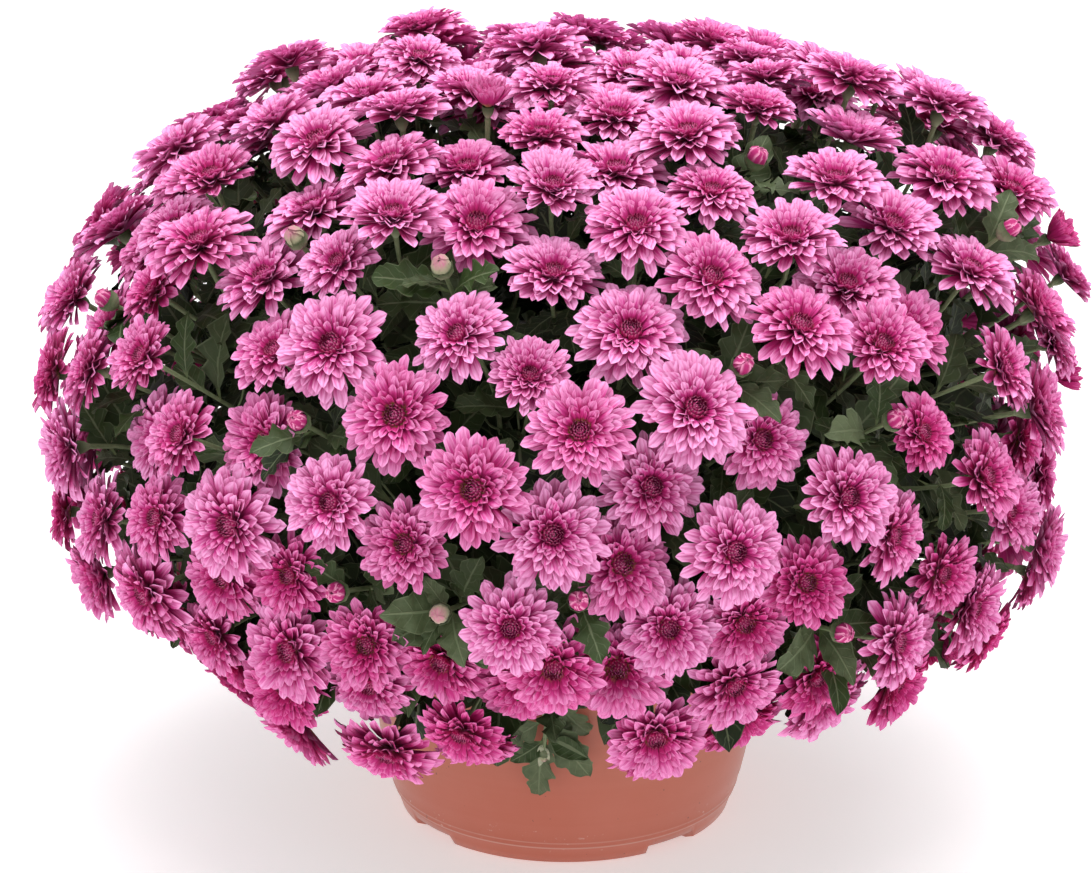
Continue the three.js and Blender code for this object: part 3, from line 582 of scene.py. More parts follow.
def bloom_frames(blooms, members, look):
    """The blooms of one spray, with two directions across each, its tone, and how far it is still closed.
    Some of the smallest ones are half open, and each nods a little to a side of its own."""
    index, radius, centre, face = (blooms[key][members] for key in ("index", "radius", "centre", "face"))
    nod = look.nod * (np.stack(draws(index, "bloom nod", 3), -1) - 0.5)
    nod = nod + BACK_LIFT * UP * np.clip(face[:, 1:2], 0, 1)
    face = unit(face + nod)
    side = crosswise(face)
    half_open = (radius < HALF_OPEN["largest"]) & (draw(index, "half open") < look.half_open)
    # Painted light and shade: blooms high on the dome get paler tones, low ones darker tones.
    higher = (centre[:, 2] - HIGH_BLOOMS_PAINTED_LIGHT["from"]) / HIGH_BLOOMS_PAINTED_LIGHT["per_tone"]
    lower = (LOW_BLOOMS_PAINTED_SHADE["from"] - centre[:, 2]) / LOW_BLOOMS_PAINTED_SHADE["per_tone"]
    high = np.clip(higher, 0, HIGH_BLOOMS_PAINTED_LIGHT["most"]) - np.clip(lower, 0, LOW_BLOOMS_PAINTED_SHADE["most"])
    tone = (draw(index, "bloom tone") - 0.5) * TONE_SPREAD
    tone = tone + (radius - TONE_BY_RADIUS["middling"]) * TONE_BY_RADIUS["step"] + high
    return {
        "index": index,
        "radius": radius,
        "centre": centre,
        "face": face,
        "side": side,
        "other": np.cross(face, side),
        "phase": draw(index, "bloom turn") * 2 * math.pi,
        "tone": tone - HALF_OPEN["tone"] * half_open,
        "cup": np.where(half_open, HALF_OPEN["cup"], OPEN_CUP * draw(index, "bloom cup") ** 2),
    }


def make_blooms(growth, blooms, look, material):
    """All petals and eyes of one spray's blooms, as one piece in the spray node's place."""
    surface = Surface()
    frames = bloom_frames(blooms, growth["members"], look)
    for order, ring in enumerate([*RINGS, *EYE_RINGS]):
        outline = PETAL_FINE if order < FINE_RINGS else PETAL_PLAIN if order < len(RINGS) else FLORET
        surface.add(*petal_grid(ring, outline, frames, order))
    surface.piece(f"{growth['name']}_blooms", material, "bloom", growth["name"])


# ---------------------------------------------------------------- stalks, calyxes and leaves

STALK_BAND, YOUNG_STALK_BAND, CALYX_BAND = 12, 13, 14  # tones; 15 is that of a shoot's downy tip
TUBE_SIDES = 6
CUP_SIDES = 8
MAP_REACH = 0.8  # how much of its row's width the map of a tube or cup takes
# Profiles from the stalk's end outwards: distances out and up, as shares of the bloom's or bud's radius.
CALYX_PROFILE = np.array([[0.055, 0.0], [0.08, 0.05], [0.12, 0.12], [0.15, 0.22], [0.15, 0.31]])
BUD_CUP_PROFILE = np.array([[0.26, -1.15], [0.62, -0.92], [0.98, -0.42], [1.04, 0.12], [0.97, 0.30]])


def tubes(surface, middles, radii, band):
    """Round stalks: middles (count, rows, 3) are the points of their middle lines and radii their radii.
    Each ring of TUBE_SIDES points stands square to the line there, started from one fixed direction."""
    ahead = unit(np.gradient(middles, axis=1))
    side = crosswise(unit(middles[:, -1] - middles[:, 0]))[:, None]
    side = unit(side - ahead * dots(side, ahead))
    ring = circle(TUBE_SIDES, side[:, :, None], np.cross(ahead, side)[:, :, None])
    points = middles[:, :, None] + ring * np.broadcast_to(radii, middles.shape[:2])[:, :, None, None]
    along = np.linspace(0, 1, middles.shape[1])[None, :, None]
    band = np.asarray(band, float).reshape(-1, 1, 1)
    places = band_places(along, MAP_REACH * np.cos(round_angles(TUBE_SIDES) / 2 + 0.4), band)
    surface.add(points, places, wrap=True)


def add_cups(surface, profile, middle, face, side, other, radius):
    """Green cups under blooms and buds: profiles turned round their axes."""
    ring = circle(CUP_SIDES, side[:, None, None], other[:, None, None])
    out, high = (radius[:, None, None, None] * profile[None, :, None, None, i] for i in range(2))
    points = middle[:, None, None] + out * ring + high * face[:, None, None]
    along = np.linspace(0, 1, len(profile))[None, :, None]
    places = band_places(along, MAP_REACH * np.cos(round_angles(CUP_SIDES) / 2), CALYX_BAND)
    surface.add(points, places, wrap=True)


def bent(start, end, pull, rows):
    """Curves from start to end that arrive along pull: quadratic Bezier curves with rows points."""
    share = np.linspace(0, 1, rows)[None, :, None]
    middle = (end - pull)[:, None]
    return (1 - share) ** 2 * start[:, None] + 2 * share * (1 - share) * middle + share**2 * end[:, None]


# Shares of a leaf's length, and its half width there as a share of its width, with two lobes on each side.
LEAF_ROWS = np.array([0.0, 0.05, 0.11, 0.17, 0.23, 0.29, 0.34, 0.39, 0.45, 0.51, 0.57, 0.62, 0.67, 0.74, 0.80,
                      0.86, 0.92, 0.97, 1.0])
LEAF_LOBED = np.array([0.030, 0.032, 0.036, 0.05, 0.24, 0.39, 0.36, 0.20, 0.30, 0.47, 0.46, 0.34, 0.21, 0.30,
                       0.36, 0.24, 0.22, 0.12, 0.012])
LEAF_PLAIN = 0.40 * np.sin(np.pi * LEAF_ROWS**0.85) ** 0.8 * np.clip((LEAF_ROWS - 0.02) / 0.3, 0.09, 1)
LEAF_SIDES = np.array([-1.0, -0.5, 0.0, 0.5, 1.0])
# Which of those rows and sides a leaf has: all of them, or fewer deep inside the plant.
LEAF_FINE = np.arange(len(LEAF_ROWS)), np.arange(len(LEAF_SIDES))
LEAF_COARSE = np.array([0, 3, 5, 7, 9, 12, 14, 16, 18]), np.array([0, 2, 4])
# How leaves are bent and how much they differ. "more" is what a draw of 1 adds.
LEAF_FORM = {"lobed": 1.7, "least_lobed": 0.1, "most_lobed": 0.85, "narrowest": 0.75, "more_width": 0.35,
             "blade_from": 0.17, "blade_full": 0.2, "forward": 0.16, "forward_power": 1.5, "sway": 0.3,
             "wave": 0.07, "waves": 23, "wave_start": 6, "wave_slant": 1.5, "droop": 0.9, "more_droop": 0.8,
             "fold": 0.4, "more_fold": 1.2}


def add_leaves(surface, foot, along, face, size, band, key, outline=LEAF_FINE, lobed=None):
    """Lobed leaves, as grids of 19 by 5 points, or of fewer of the same rows and columns deep inside.

    The half width at a row lies between that of a lobed leaf and that of a plain one. The outer points of
    a row lean forwards, as the lobes do. The blade is arched along its length, folded a little at the rib,
    and its edges wave.
    """
    form = LEAF_FORM
    side = unit(np.cross(face, along))
    up = np.cross(along, side)
    rows = LEAF_ROWS[outline[0]][None, :, None]
    lateral = LEAF_SIDES[outline[1]][None, None]
    size = size[:, None, None]
    length, width = LEAF["length"] * size, LEAF["width"] * size
    broad, _, sway, ripple, lobes = (number[:, None, None] for number in draws(key, "leaf", 5))
    fold = form["fold"] + form["more_fold"] * lobes
    droop = form["droop"] + form["more_droop"] * ripple
    lobed = (np.clip(form["lobed"] * lobes, form["least_lobed"], form["most_lobed"])
             if lobed is None else lobed[:, None, None])
    lobed_half, plain_half = (half[outline[0]][None, :, None] for half in (LEAF_LOBED, LEAF_PLAIN))
    half = (lobed_half * lobed + plain_half * (1 - lobed)) * (form["narrowest"] + form["more_width"] * broad)
    blade = np.clip((rows - form["blade_from"]) / form["blade_full"], 0, 1)
    lean = form["forward"] * lobed * np.abs(lateral) ** form["forward_power"] * blade * (1 - rows)
    forward = (rows + lean) * length
    sideways = lateral * half * width + (sway - 0.5) * form["sway"] * rows**2 * width
    wave = np.sin(rows * form["waves"] + ripple * form["wave_start"] + lateral * form["wave_slant"])
    arch = LEAF["arch"] * (rows - rows**2 * droop) * size
    crease = LEAF["cupping"] * fold * np.abs(lateral) * half * size
    lift = arch + crease + form["wave"] * wave * lateral**2 * width * blade
    points = (foot[:, None, None] + forward[..., None] * along[:, None, None]
              + sideways[..., None] * side[:, None, None] + lift[..., None] * up[:, None, None])
    surface.add(points, band_places(rows, lateral, np.asarray(band)[:, None, None]))


def stack(leaves):
    """Foot, direction, facing and size of a list of leaves, as arrays."""
    return [np.array([leaf[key] for leaf in leaves], float) for key in ("foot", "along", "face", "size")]


# How the small leaves along a stalk stand. "more" is what a draw of 1 adds.
SMALL_LEAF = {"keys": 128, "wander": 7, "rise": 0.25, "more_rise": 0.75, "to_light": 0.5, "outwards": 0.2,
              "smallest": 0.75, "more_size": 0.45}


def undergrowth(starts, ends, key, steps, size):
    """Leaves along straight stalks: at distances back from each end, turning round it by the golden angle,
    leaning out and forwards by different amounts, and facing forwards and to the light."""
    form = SMALL_LEAF
    axis = unit(starts - ends)
    side = crosswise(axis)
    leaves = []
    for distance in steps:
        own = key * form["keys"] + int(distance)
        wander, rise, grown = draws(own, "small leaf", 3)
        out = turned(side, axis, own * GOLDEN_ANGLE)
        back = distance + form["wander"] * (wander - 0.5)
        rise = form["rise"] + form["more_rise"] * rise
        light = form["to_light"] * (UP - axis * dots(axis, UP))
        leaves.append((ends + axis * back[:, None], unit(out - axis * rise[:, None]),
                       unit(-axis + light + form["outwards"] * out),
                       size * (form["smallest"] + form["more_size"] * grown), own))
    return [np.concatenate(group) for group in zip(*leaves)]


def leaf_bands(key, low=0.0, high=9.0):
    """A tone for each leaf."""
    return np.rint(low + (high - low) * draw(key, "leaf tone"))


# The small leaves along the stalks: their outline, their distances back from the bloom, their size, and how
# long a twig they stand on.
UNDERGROWTH = ((LEAF_FINE, (17, 27), 0.60, 0), (LEAF_COARSE, (38, 50, 63, 77, 92, 108), 0.92, 0),
               (LEAF_COARSE, (46, 62), 0.42, 13))
TWIG = {"rows": 5, "along": 0.45, "up": 0.35}
PEDUNCLE = {"rows": 8, "pull": 0.3, "taper": -0.35, "flare": 0.4, "flare_power": 10}
STEM_RADII = (2.3, 2.1, 2.0, 1.9, 1.9, 1.9)  # from the crown to where it flares
KNOT = ((-6, 0.72), (1.5, 0.9))  # millimetres past the hub, share of the knot's radius
SPRAY_LEAF_KEYS = {"first": 9000, "per_spray": 16}


def make_greens(growth, blooms, looks, material):
    """A spray's stem, stalks, calyxes and leaves, as one piece in the spray node's place."""
    surface = Surface()
    frames = bloom_frames(blooms, growth["members"], looks.mum_flowers)
    face, radius = frames["face"], frames["radius"]
    neck = frames["centre"] - face * (radius * BLOOM["neck_depth"])[:, None]
    roots, axis, hub = growth["roots"], growth["axis"], growth["hub"]
    pull = face * np.linalg.norm(neck - roots, axis=1)[:, None] * PEDUNCLE["pull"]
    share = np.linspace(0, 1, PEDUNCLE["rows"])
    widening = PEDUNCLE["taper"] * share + PEDUNCLE["flare"] * share ** PEDUNCLE["flare_power"]
    tubes(surface, bent(roots, neck, pull, PEDUNCLE["rows"]),
          looks.mum_foliage.stalk_radius / MM + widening, STALK_BAND + draw(frames["index"], "stalk tone"))
    add_cups(surface, CALYX_PROFILE, neck, face, frames["side"], frames["other"], radius)

    start, end = APEX + axis * (CROWN["radius"] - 1), hub - axis * SPRAY["flare"]
    stem = start + (end - start) * np.linspace(0, 1, len(STEM_RADII))[:, None]
    stem = np.concatenate([stem, [hub + axis * past for past, _ in KNOT]])
    radii = np.array([*STEM_RADII, *(growth["knot"] * share for _, share in KNOT)])
    tubes(surface, stem[None], radii[None], [STALK_BAND])

    if growth["leaves"]:
        foot, along, facing, size = stack(growth["leaves"])
        key = growth["members"][0] * SPRAY_LEAF_KEYS["per_spray"] + np.arange(len(foot))
        key = key + SPRAY_LEAF_KEYS["first"]
        add_leaves(surface, foot, along, facing, size, leaf_bands(key), key)
    for outline, steps, size, twig in UNDERGROWTH:
        foot, along, facing, size, key = undergrowth(roots, neck, frames["index"], steps, size)
        if twig:
            tip = foot + along * twig
            pull = (TWIG["along"] * along + TWIG["up"] * facing) * twig
            tubes(surface, bent(foot, tip, pull, TWIG["rows"]), looks.mum_foliage.twig_radius / MM,
                  YOUNG_STALK_BAND)
            foot = tip
        add_leaves(surface, foot, along, facing, size, leaf_bands(key), key, outline)
    surface.piece(f"{growth['name']}_stalks", material, "foliage", growth["name"])


# ---------------------------------------------------------------- leafy shoots

HANGING = len(WINDOWS)  # number of the shoot that hangs over the rim
DOWNY_TIP = 0.5  # size of its tip, as a share of a bud's
# The leaves round that tip, seen from the front: millimetres back from the tip, degrees to the right of
# straight down, how far it leans to the back, size, how lobed, and tone. The smallest ones are its down.
HANGING_LEAVES = (
    (5, -52, -0.10, 0.44, 0.05, 4.0), (6, 64, -0.10, 0.50, 0.05, 4.4), (10, -10, 0.22, 0.86, 0.75, 10),
    (25, -86, -0.20, 0.62, 0.02, 4.0), (14, 48, 0.25, 0.42, 0.70, 9.0), (30, 60, -0.05, 0.46, 0.30, 3.6),
    (1, -12, -0.35, 0.20, 0.00, 15), (2, 16, -0.45, 0.16, 0.00, 15), (3, -40, -0.45, 0.15, 0.00, 15),
    (24, -24, -0.50, 0.20, 0.00, 15), (25, 22, -0.60, 0.17, 0.00, 15), (27, -4, -0.70, 0.15, 0.00, 15),
)
HANGING_FACE = unit(FRONT + 0.25 * UP)
# The small leaves along the other shoots: their outline, their distances back from the tip and their size.
SHOOT_UNDERGROWTH = ((LEAF_FINE, (-3, 4, 14, 24), 0.60), (LEAF_FINE, (36, 50), 0.80))
SHOOT_STEM = {"rows": 12, "tip": 0.8}
SHOOT_KEYS = {"first": 20000, "per_shoot": 64, "hanging": 32, "bud": 900}
BUD_PHASE = 1.3  # how far each bud is turned from the one before, in radians
PALE_BUDS = {"one_in": 4, "from": 1}


def bud_place(growth, number):
    """The radius of a shoot's bud, or of the hanging shoot's tip, and the end of its stalk."""
    radius = SHOOT["bud_radius"] * (DOWNY_TIP if number == HANGING else 1)
    return radius, growth["path"][-1] + growth["axis"] * SHOOT["bud_stalk"]


def make_bud(growth, number, material):
    """The closed petals of a leafy shoot's bud, as one more piece in its node's place."""
    axis = growth["axis"]
    side, other = across(axis)
    radius, tip = bud_place(growth, number)
    frames = {"index": number + SHOOT_KEYS["bud"], "radius": radius, "centre": tip + axis * radius,
              "face": axis, "side": side, "other": other, "phase": number * BUD_PHASE, "tone": 0, "cup": 0}
    frames = {key: np.array([value]) for key, value in frames.items()}
    pale = number % PALE_BUDS["one_in"] == PALE_BUDS["from"] or number == HANGING
    surface = Surface()
    for order, ring in enumerate(BUD_RINGS):
        tone = PALE_BUD if pale else ring["tone"]
        surface.add(*petal_grid({**ring, "tone": tone}, PETAL_FINE, frames, order))
    surface.piece(f"{growth['name']}_bud", material, "bloom", growth["name"])


def make_shoot(growth, number, material):
    """A leafy shoot: its stem, leaves and the cup of its bud, as one piece in its node's place."""
    surface = Surface()
    path, axis = growth["path"], growth["axis"]
    radius, tip = bud_place(growth, number)
    knots = np.concatenate([path, [tip]])
    reached = np.concatenate([[0], np.cumsum(np.linalg.norm(np.diff(knots, axis=0), axis=1))])
    share = np.linspace(0, reached[-1], SHOOT_STEM["rows"])
    stem = np.stack([np.interp(share, reached, knots[:, i]) for i in range(3)], -1)
    radii = np.linspace(SHOOT["stem_radius"], SHOOT["tip_radius"] * SHOOT_STEM["tip"], SHOOT_STEM["rows"])
    tubes(surface, stem[None], radii[None], [YOUNG_STALK_BAND])
    side, other = across(axis)
    add_cups(surface, BUD_CUP_PROFILE, (tip + axis * radius)[None], axis[None], side[None], other[None],
             np.array([radius]))
    key = number * SHOOT_KEYS["per_shoot"] + SHOOT_KEYS["first"]
    if growth["leaves"]:
        foot, along, face, size = stack(growth["leaves"])
        if number == HANGING:
            face = unit(0.35 * face + FRONT + 0.3 * UP)
        keys = key + np.arange(len(foot))
        add_leaves(surface, foot, along, face, size, leaf_bands(keys, 4, 11), keys)
    if number == HANGING:
        back, turn, lean, size, lobed, band = np.array(HANGING_LEAVES).T
        along = unit(np.stack([np.sin(np.radians(turn)), lean, -np.cos(np.radians(turn))], -1))
        face = np.tile(HANGING_FACE, (len(turn), 1))
        keys = key + SHOOT_KEYS["hanging"] + np.arange(len(turn))
        add_leaves(surface, tip - axis * back[:, None], along, face, size, band, keys, lobed=lobed)
    else:
        for outline, steps, size in SHOOT_UNDERGROWTH:
            *leaves, keys = undergrowth(path[None, 0], path[None, -1], np.array([key]), steps, size)
            add_leaves(surface, *leaves, leaf_bands(keys, 1, 10), keys, outline)
    surface.piece(f"{growth['name']}_leaves", material, "foliage", growth["name"])


# ---------------------------------------------------------------- pot, soil and crown

POT = {"rim": 95, "height": 100, "wall": 1.6, "band": 12, "foot": 76, "foot_width": 5, "foot_height": 3,
       "notches": 4, "notch_width": 26, "notch_height": 6, "notch_turn": 39, "notch_reach": 7,
       "segments": 256}
AXIS_GAP = 0.01  # how close to Z a turned body's profile comes at its poles


def pot_profile():
    """Radius and height from the middle of the underside, out and up the wall, over the rim, and back
    down inside to the middle of the floor."""
    foot, width, lift, wall = POT["foot"], POT["foot_width"], POT["foot_height"], POT["wall"]
    rim, top, band = POT["rim"], POT["height"], POT["height"] - POT["band"]
    inner = foot - width
    return np.array([
        [AXIS_GAP, lift], [30, lift], [55, lift], [inner - 0.6, lift], [inner, lift - 0.6],
        [inner, 0.5], [inner + 0.5, 0], [foot - 0.6, 0], [foot + 0.2, 0.3], [80, 1.8],
        [81.4, 6], [82.6, 9.6], [83.0, 10.2], [83.4, 10.4], [83.5, 11.2], [83.5, 12.6], [84.0, 13.0],
        [84.4, 13.2], [84.6, 14.2], [84.6, 15.2], [86.2, 20], [88.4, 30], [90.0, 41], [91.0, 52],
        [91.9, 66], [92.6, 80], [92.8, band - 1.4], [93.4, band - 0.9], [94.6, band - 0.5],
        [94.9, band], [95.0, 94], [rim, top - 0.7], [rim - 0.3, top - 0.1], [rim - 0.8, top],
        [rim - wall + 0.2, top - 0.1], [rim - wall, top - 0.6], [rim - wall - 1.8, band],
        [91.0 - wall, 52], [88.4 - wall, 31], [84.0 - wall, 15], [foot + wall, lift + wall],
        [40, lift + wall], [AXIS_GAP, lift + wall],
    ])


def make_pot(material):
    """The bowl: a profile turned round Z, with its lower edge lifted over each foot notch."""
    radius, height = pot_profile().T[..., None]
    first_half = (np.arange(len(radius)) < len(radius) // 2)[:, None]
    outside = first_half & (radius > POT["foot"] - POT["notch_reach"])
    quarter = 2 * math.pi / POT["notches"]
    turn = round_angles(POT["segments"]) - math.radians(POT["notch_turn"])
    off = (turn + quarter / 2) % quarter - quarter / 2
    notched = np.abs(off) * POT["foot"] < POT["notch_width"] / 2
    height = np.where(outside & notched & (height < POT["notch_height"]), POT["notch_height"], height)
    surface = Surface()
    surface.add_turned(radius, height, POT["segments"])
    surface.piece("pot_shell", material, "terracotta_plastic", "pot", mapped=False)


SOIL_OUTSIDE = ((AXIS_GAP, 4.9), (76, 4.9), (81.6, 16), (86, 31), (88.6, 52), (90.3, 80), (89.0, 86))
SOIL_SOCKET = ((12.5, 62), (AXIS_GAP, 62))  # where the crown stands in it
SOIL_TOP = {"outer": 86, "inner": 12.6, "rows": 46, "columns": 160, "heap": 3, "edge": 89}
SOIL_CRUMBS = ((1.2, 9.0), (0.9, 4.1), (0.7, 2.2), (0.5, 1.3), (0.3, 0.8))  # height, length of each wave


def make_soil(material):
    """The root ball: a turned body whose top is heaved into crumbs by a sum of sines of many lengths."""
    top = np.linspace(SOIL_TOP["outer"], SOIL_TOP["inner"], SOIL_TOP["rows"])
    profile = np.concatenate([SOIL_OUTSIDE, np.stack([top, np.full(len(top), SOIL_LEVEL)], -1), SOIL_SOCKET])
    radius, height = profile.T[..., None]
    turn = round_angles(SOIL_TOP["columns"])
    x, y = radius * np.cos(turn), radius * np.sin(turn)
    crumbs = sum(size * np.sin(x / wave + 3.1 * k) * np.cos(y / wave * 1.13 + 1.7 * k + x / wave * 0.4)
                 for k, (size, wave) in enumerate(SOIL_CRUMBS))
    heaped = height + SOIL_TOP["heap"] * (1 - radius / SOIL_TOP["edge"]) + crumbs
    surface = Surface()
    surface.add_turned(radius, np.where(height == SOIL_LEVEL, heaped, height), SOIL_TOP["columns"])
    surface.piece("potting_soil_top", material, "potting_soil", "potting_soil", mapped=False)


CROWN_PROFILE = np.array([
    [AXIS_GAP, 62], [8.6, 62], [9.5, 70], [11.0, 80], [11.8, 87], [12.2, 96], [13.4, 104], [17.5, 109],
    [20.5, 114], [21.4, 120], [21.0, 127], [18.6, 134], [14.0, 139.5], [7.5, 143], [AXIS_GAP, 144],
])
CROWN_COLUMNS = 96


def make_crown(material):
    """The woody crown: a turned knob on its root, ridged lengthways and knotted by sums of sines."""
    radius, height = CROWN_PROFILE.T[..., None]
    turn = round_angles(CROWN_COLUMNS)
    ridges = 0.03 * np.sin(11 * turn + height / 9) + 0.025 * np.sin(23 * turn - height / 5)
    knots = 0.03 * np.sin(height / 3.1) * np.cos(3 * turn)
    surface = Surface()
    surface.add_turned(radius * (0.97 + ridges + knots), height, CROWN_COLUMNS)
    surface.piece("woody_crown_bark", material, "woody_stem", "woody_crown", mapped=False)


# ---------------------------------------------------------------- materials

class Value:
    """A number on a shader socket. Sums and products of it add the Math nodes that work them out."""

    def __init__(self, shader, socket):
        self.shader, self.socket = shader, socket

    def math(self, operation, *others, first=None):
        """One Math node on this number and others, or on another one first and then this."""
        numbers = [self, *others] if first is None else [first, self]
        return self.shader.node("ShaderNodeMath", {"operation": operation}, dict(enumerate(numbers)))

    def __add__(self, other):
        return self.math("ADD", other)

    def __sub__(self, other):
        return self.math("SUBTRACT", other)

    def __mul__(self, other):
        return self.math("MULTIPLY", other)

    def __truediv__(self, other):
        return self.math("DIVIDE", other)

    def __rsub__(self, other):
        return self.math("SUBTRACT", first=other)

    def __rtruediv__(self, other):
        return self.math("DIVIDE", first=other)

    __radd__ = __add__
    __rmul__ = __mul__

    def between(self, low, high):
        """0 below low, 1 above high, and a smooth step from one to the other."""
        settings = {"interpolation_type": "SMOOTHSTEP"}
        inputs = {"Value": self, "From Min": low, "From Max": high}
        return self.shader.node("ShaderNodeMapRange", settings, inputs)

    def band(self, low, full, less, none):
        """0 up to low, 1 from full to less, and 0 again from none on, with smooth steps."""
        return self.between(low, full) * (1 - self.between(less, none))


class Shader:
    """A material under construction: one Principled shader and the nodes that feed it."""

    def __init__(self, name):
        self.material = bpy.data.materials.new(name)
        self.material.use_nodes = True
        self.tree = self.material.node_tree
        self.surface = self.tree.nodes["Principled BSDF"]

    def set(self, node, key, value):
        """Gives a socket a link, a colour or vector, or a number."""
        socket = node.inputs[key]
        if isinstance(value, Value):
            self.tree.links.new(value.socket, socket)
        elif hasattr(socket.default_value, "__len__"):
            numbers = list(value)
            if len(numbers) < len(socket.default_value):
                numbers.append(1.0)
            socket.default_value = numbers
        else:
            socket.default_value = value

    def node(self, kind, settings=None, inputs=None, output=0):
        """Adds a node: its settings first, then the value or link of each socket. Gives one output."""
        node = self.tree.nodes.new(kind)
        for key, value in (settings or {}).items():
            if key == "stops":
                self.stops(node.color_ramp, value)
            else:
                setattr(node, key, value)
        for key, value in (inputs or {}).items():
            self.set(node, key, value)
        return Value(self, node.outputs[output])

    def stops(self, ramp, stops):
        """Gives a colour ramp its stops of (position, colour)."""
        while len(ramp.elements) < len(stops):
            ramp.elements.new(1.0)
        for element, (position, colour) in zip(ramp.elements, stops):
            element.position = position
            element.color = (*colour[:3], 1.0)

    def ramp(self, value, *stops):
        """A colour from a number, by stops of (position, colour)."""
        return self.node("ShaderNodeValToRGB", {"stops": stops}, {0: value})

    def mix(self, share, first, second, blend="MIX"):
        """A colour between two, by a share from 0 to 1."""
        settings = {"data_type": "RGBA", "blend_type": blend, "clamp_factor": True}
        return self.node("ShaderNodeMix", settings, {0: share, 6: first, 7: second}, output=2)

    def mapped(self, where, scale=(1, 1, 1), shift=(0, 0, 0)):
        """Coordinates, scaled and shifted."""
        return self.node("ShaderNodeMapping", None, {"Vector": where, "Scale": scale, "Location": shift})

    def place(self, scale=(1, 1, 1), shift=(0, 0, 0)):
        """The piece's own coordinates, in metres, scaled and shifted."""
        return self.mapped(self.node("ShaderNodeTexCoord", output="Object"), scale, shift)

    def noise(self, place, scale, detail=3.0, roughness=0.55):
        """Cloudy noise from 0 to 1."""
        inputs = {"Vector": place, "Scale": scale, "Detail": detail, "Roughness": roughness}
        return self.node("ShaderNodeTexNoise", None, inputs)

    def grain(self, where, scale, detail=2.0, roughness=0.6):
        """Noise on the piece's map, scaled along a leaf or petal and across it."""
        return self.noise(self.mapped(where, (*scale, 1)), 1.0, detail, roughness)

    def bump(self, height, strength, distance):
        """A normal that follows a height."""
        inputs = {"Height": height, "Strength": strength, "Distance": distance}
        return self.node("ShaderNodeBump", None, inputs)

    def finish(self, **inputs):
        """Sets the Principled shader's sockets: words_with_underscores stand for its socket names."""
        for key, value in inputs.items():
            self.set(self.surface, key.replace("_", " "), value)
        return self.material

    def map_parts(self):
        """From the piece's map: its position, the way along a leaf or petal, the distance from its rib to
        its edge and its tone, the last three each from 0 to 1."""
        where = self.node("ShaderNodeUVMap", {"uv_map": BAKE_MAP})
        along, height = (self.node("ShaderNodeSeparateXYZ", None, {0: where}, output=i) for i in range(2))
        rows = height * float(BANDS)
        tone = rows.math("FLOOR") / float(BANDS - 1)
        edge = ((rows.math("FRACT") - 0.5) * (1 / BAND_FILL)).math("ABSOLUTE")
        return where, along, edge, tone


def petal_material(look):
    """Petals: deep magenta at the foot and pale at the tip, paler in the higher tones and darker in the lower
    ones as painted shade, with pale tips' edges that are partly pale outline and partly a painted highlight
    on the rolled edges, a painted shade along the middle fold and between the petals at their feet, and
    streaks along them. The lowest tones are the dark florets of the eye, which have pale outlines, and the
    next one is the green-white of young buds."""
    shader = Shader("petal_pink")
    where, along, edge, tone = shader.map_parts()
    deep, middle, pale = look.petal_deep, look.petal_middle, look.petal_pale
    streaks = shader.grain(where, (2.0, 95))
    cloud = shader.grain(where, (3.0, 34), roughness=0.5)
    way = along * 0.96 + (streaks - 0.5) * 0.85 + (cloud - 0.5) * 0.25 + (tone - 0.74) * 0.35
    colour = shader.ramp(way, (0.0, deep), (0.18, deep), (0.62, middle), (1.0, pale))
    # Painted highlight on the rolled tip edges, painted shade between the petals' feet and along their middle
    # fold.
    tip_edge_highlight = edge.between(0.55, 1.05) * along.between(0.70, 0.95)
    foot_edge_shade = edge.between(0.50, 1.0) * (1 - along.between(0.55, 0.88))
    groove_shade = (1 - edge).between(0.66, 1.0)
    colour = shader.mix(tip_edge_highlight * 0.35, colour, pale)
    colour = shader.mix(foot_edge_shade * 0.70, colour, deep)
    colour = shader.mix(groove_shade * 0.36, colour, deep)
    # Painted shade: the lower a petal's tone, the more this multiplies it by the inner shade tint.
    shaded = shader.mix(1.0, colour, look.petal_shade, blend="MULTIPLY")
    colour = shader.mix(tone.between(0.15, 0.95), shaded, colour)
    tinge = tone.band(0.36, 0.44, 0.56, 0.66) * (1 - along.between(0.05, 0.42))
    colour = shader.mix(tinge * 0.9, colour, look.eye_tinge)
    floret_edge = edge.between(0.35, 0.9) * along.between(0.35, 0.8) + along.between(0.9, 1.0) * 0.4
    floret = shader.mix(floret_edge, look.eye_dark, look.eye_rim)
    colour = shader.mix(1 - tone.between(0.23, 0.25), colour, floret)
    young = shader.mix(along.between(0.55, 0.95) * streaks, look.bud_pale, middle)
    colour = shader.mix(tone.band(0.24, 0.26, 0.28, 0.30), colour, young)
    height = streaks * 0.5 + (1 - edge.between(0.0, 0.3)) * 0.4
    return shader.finish(Base_Color=colour, Roughness=0.62, Normal=shader.bump(height, 0.25, 0.0006),
                         Sheen_Weight=0.12, Sheen_Roughness=0.4, Sheen_Tint=(1.0, 0.7, 0.95),
                         Specular_IOR_Level=0.22)


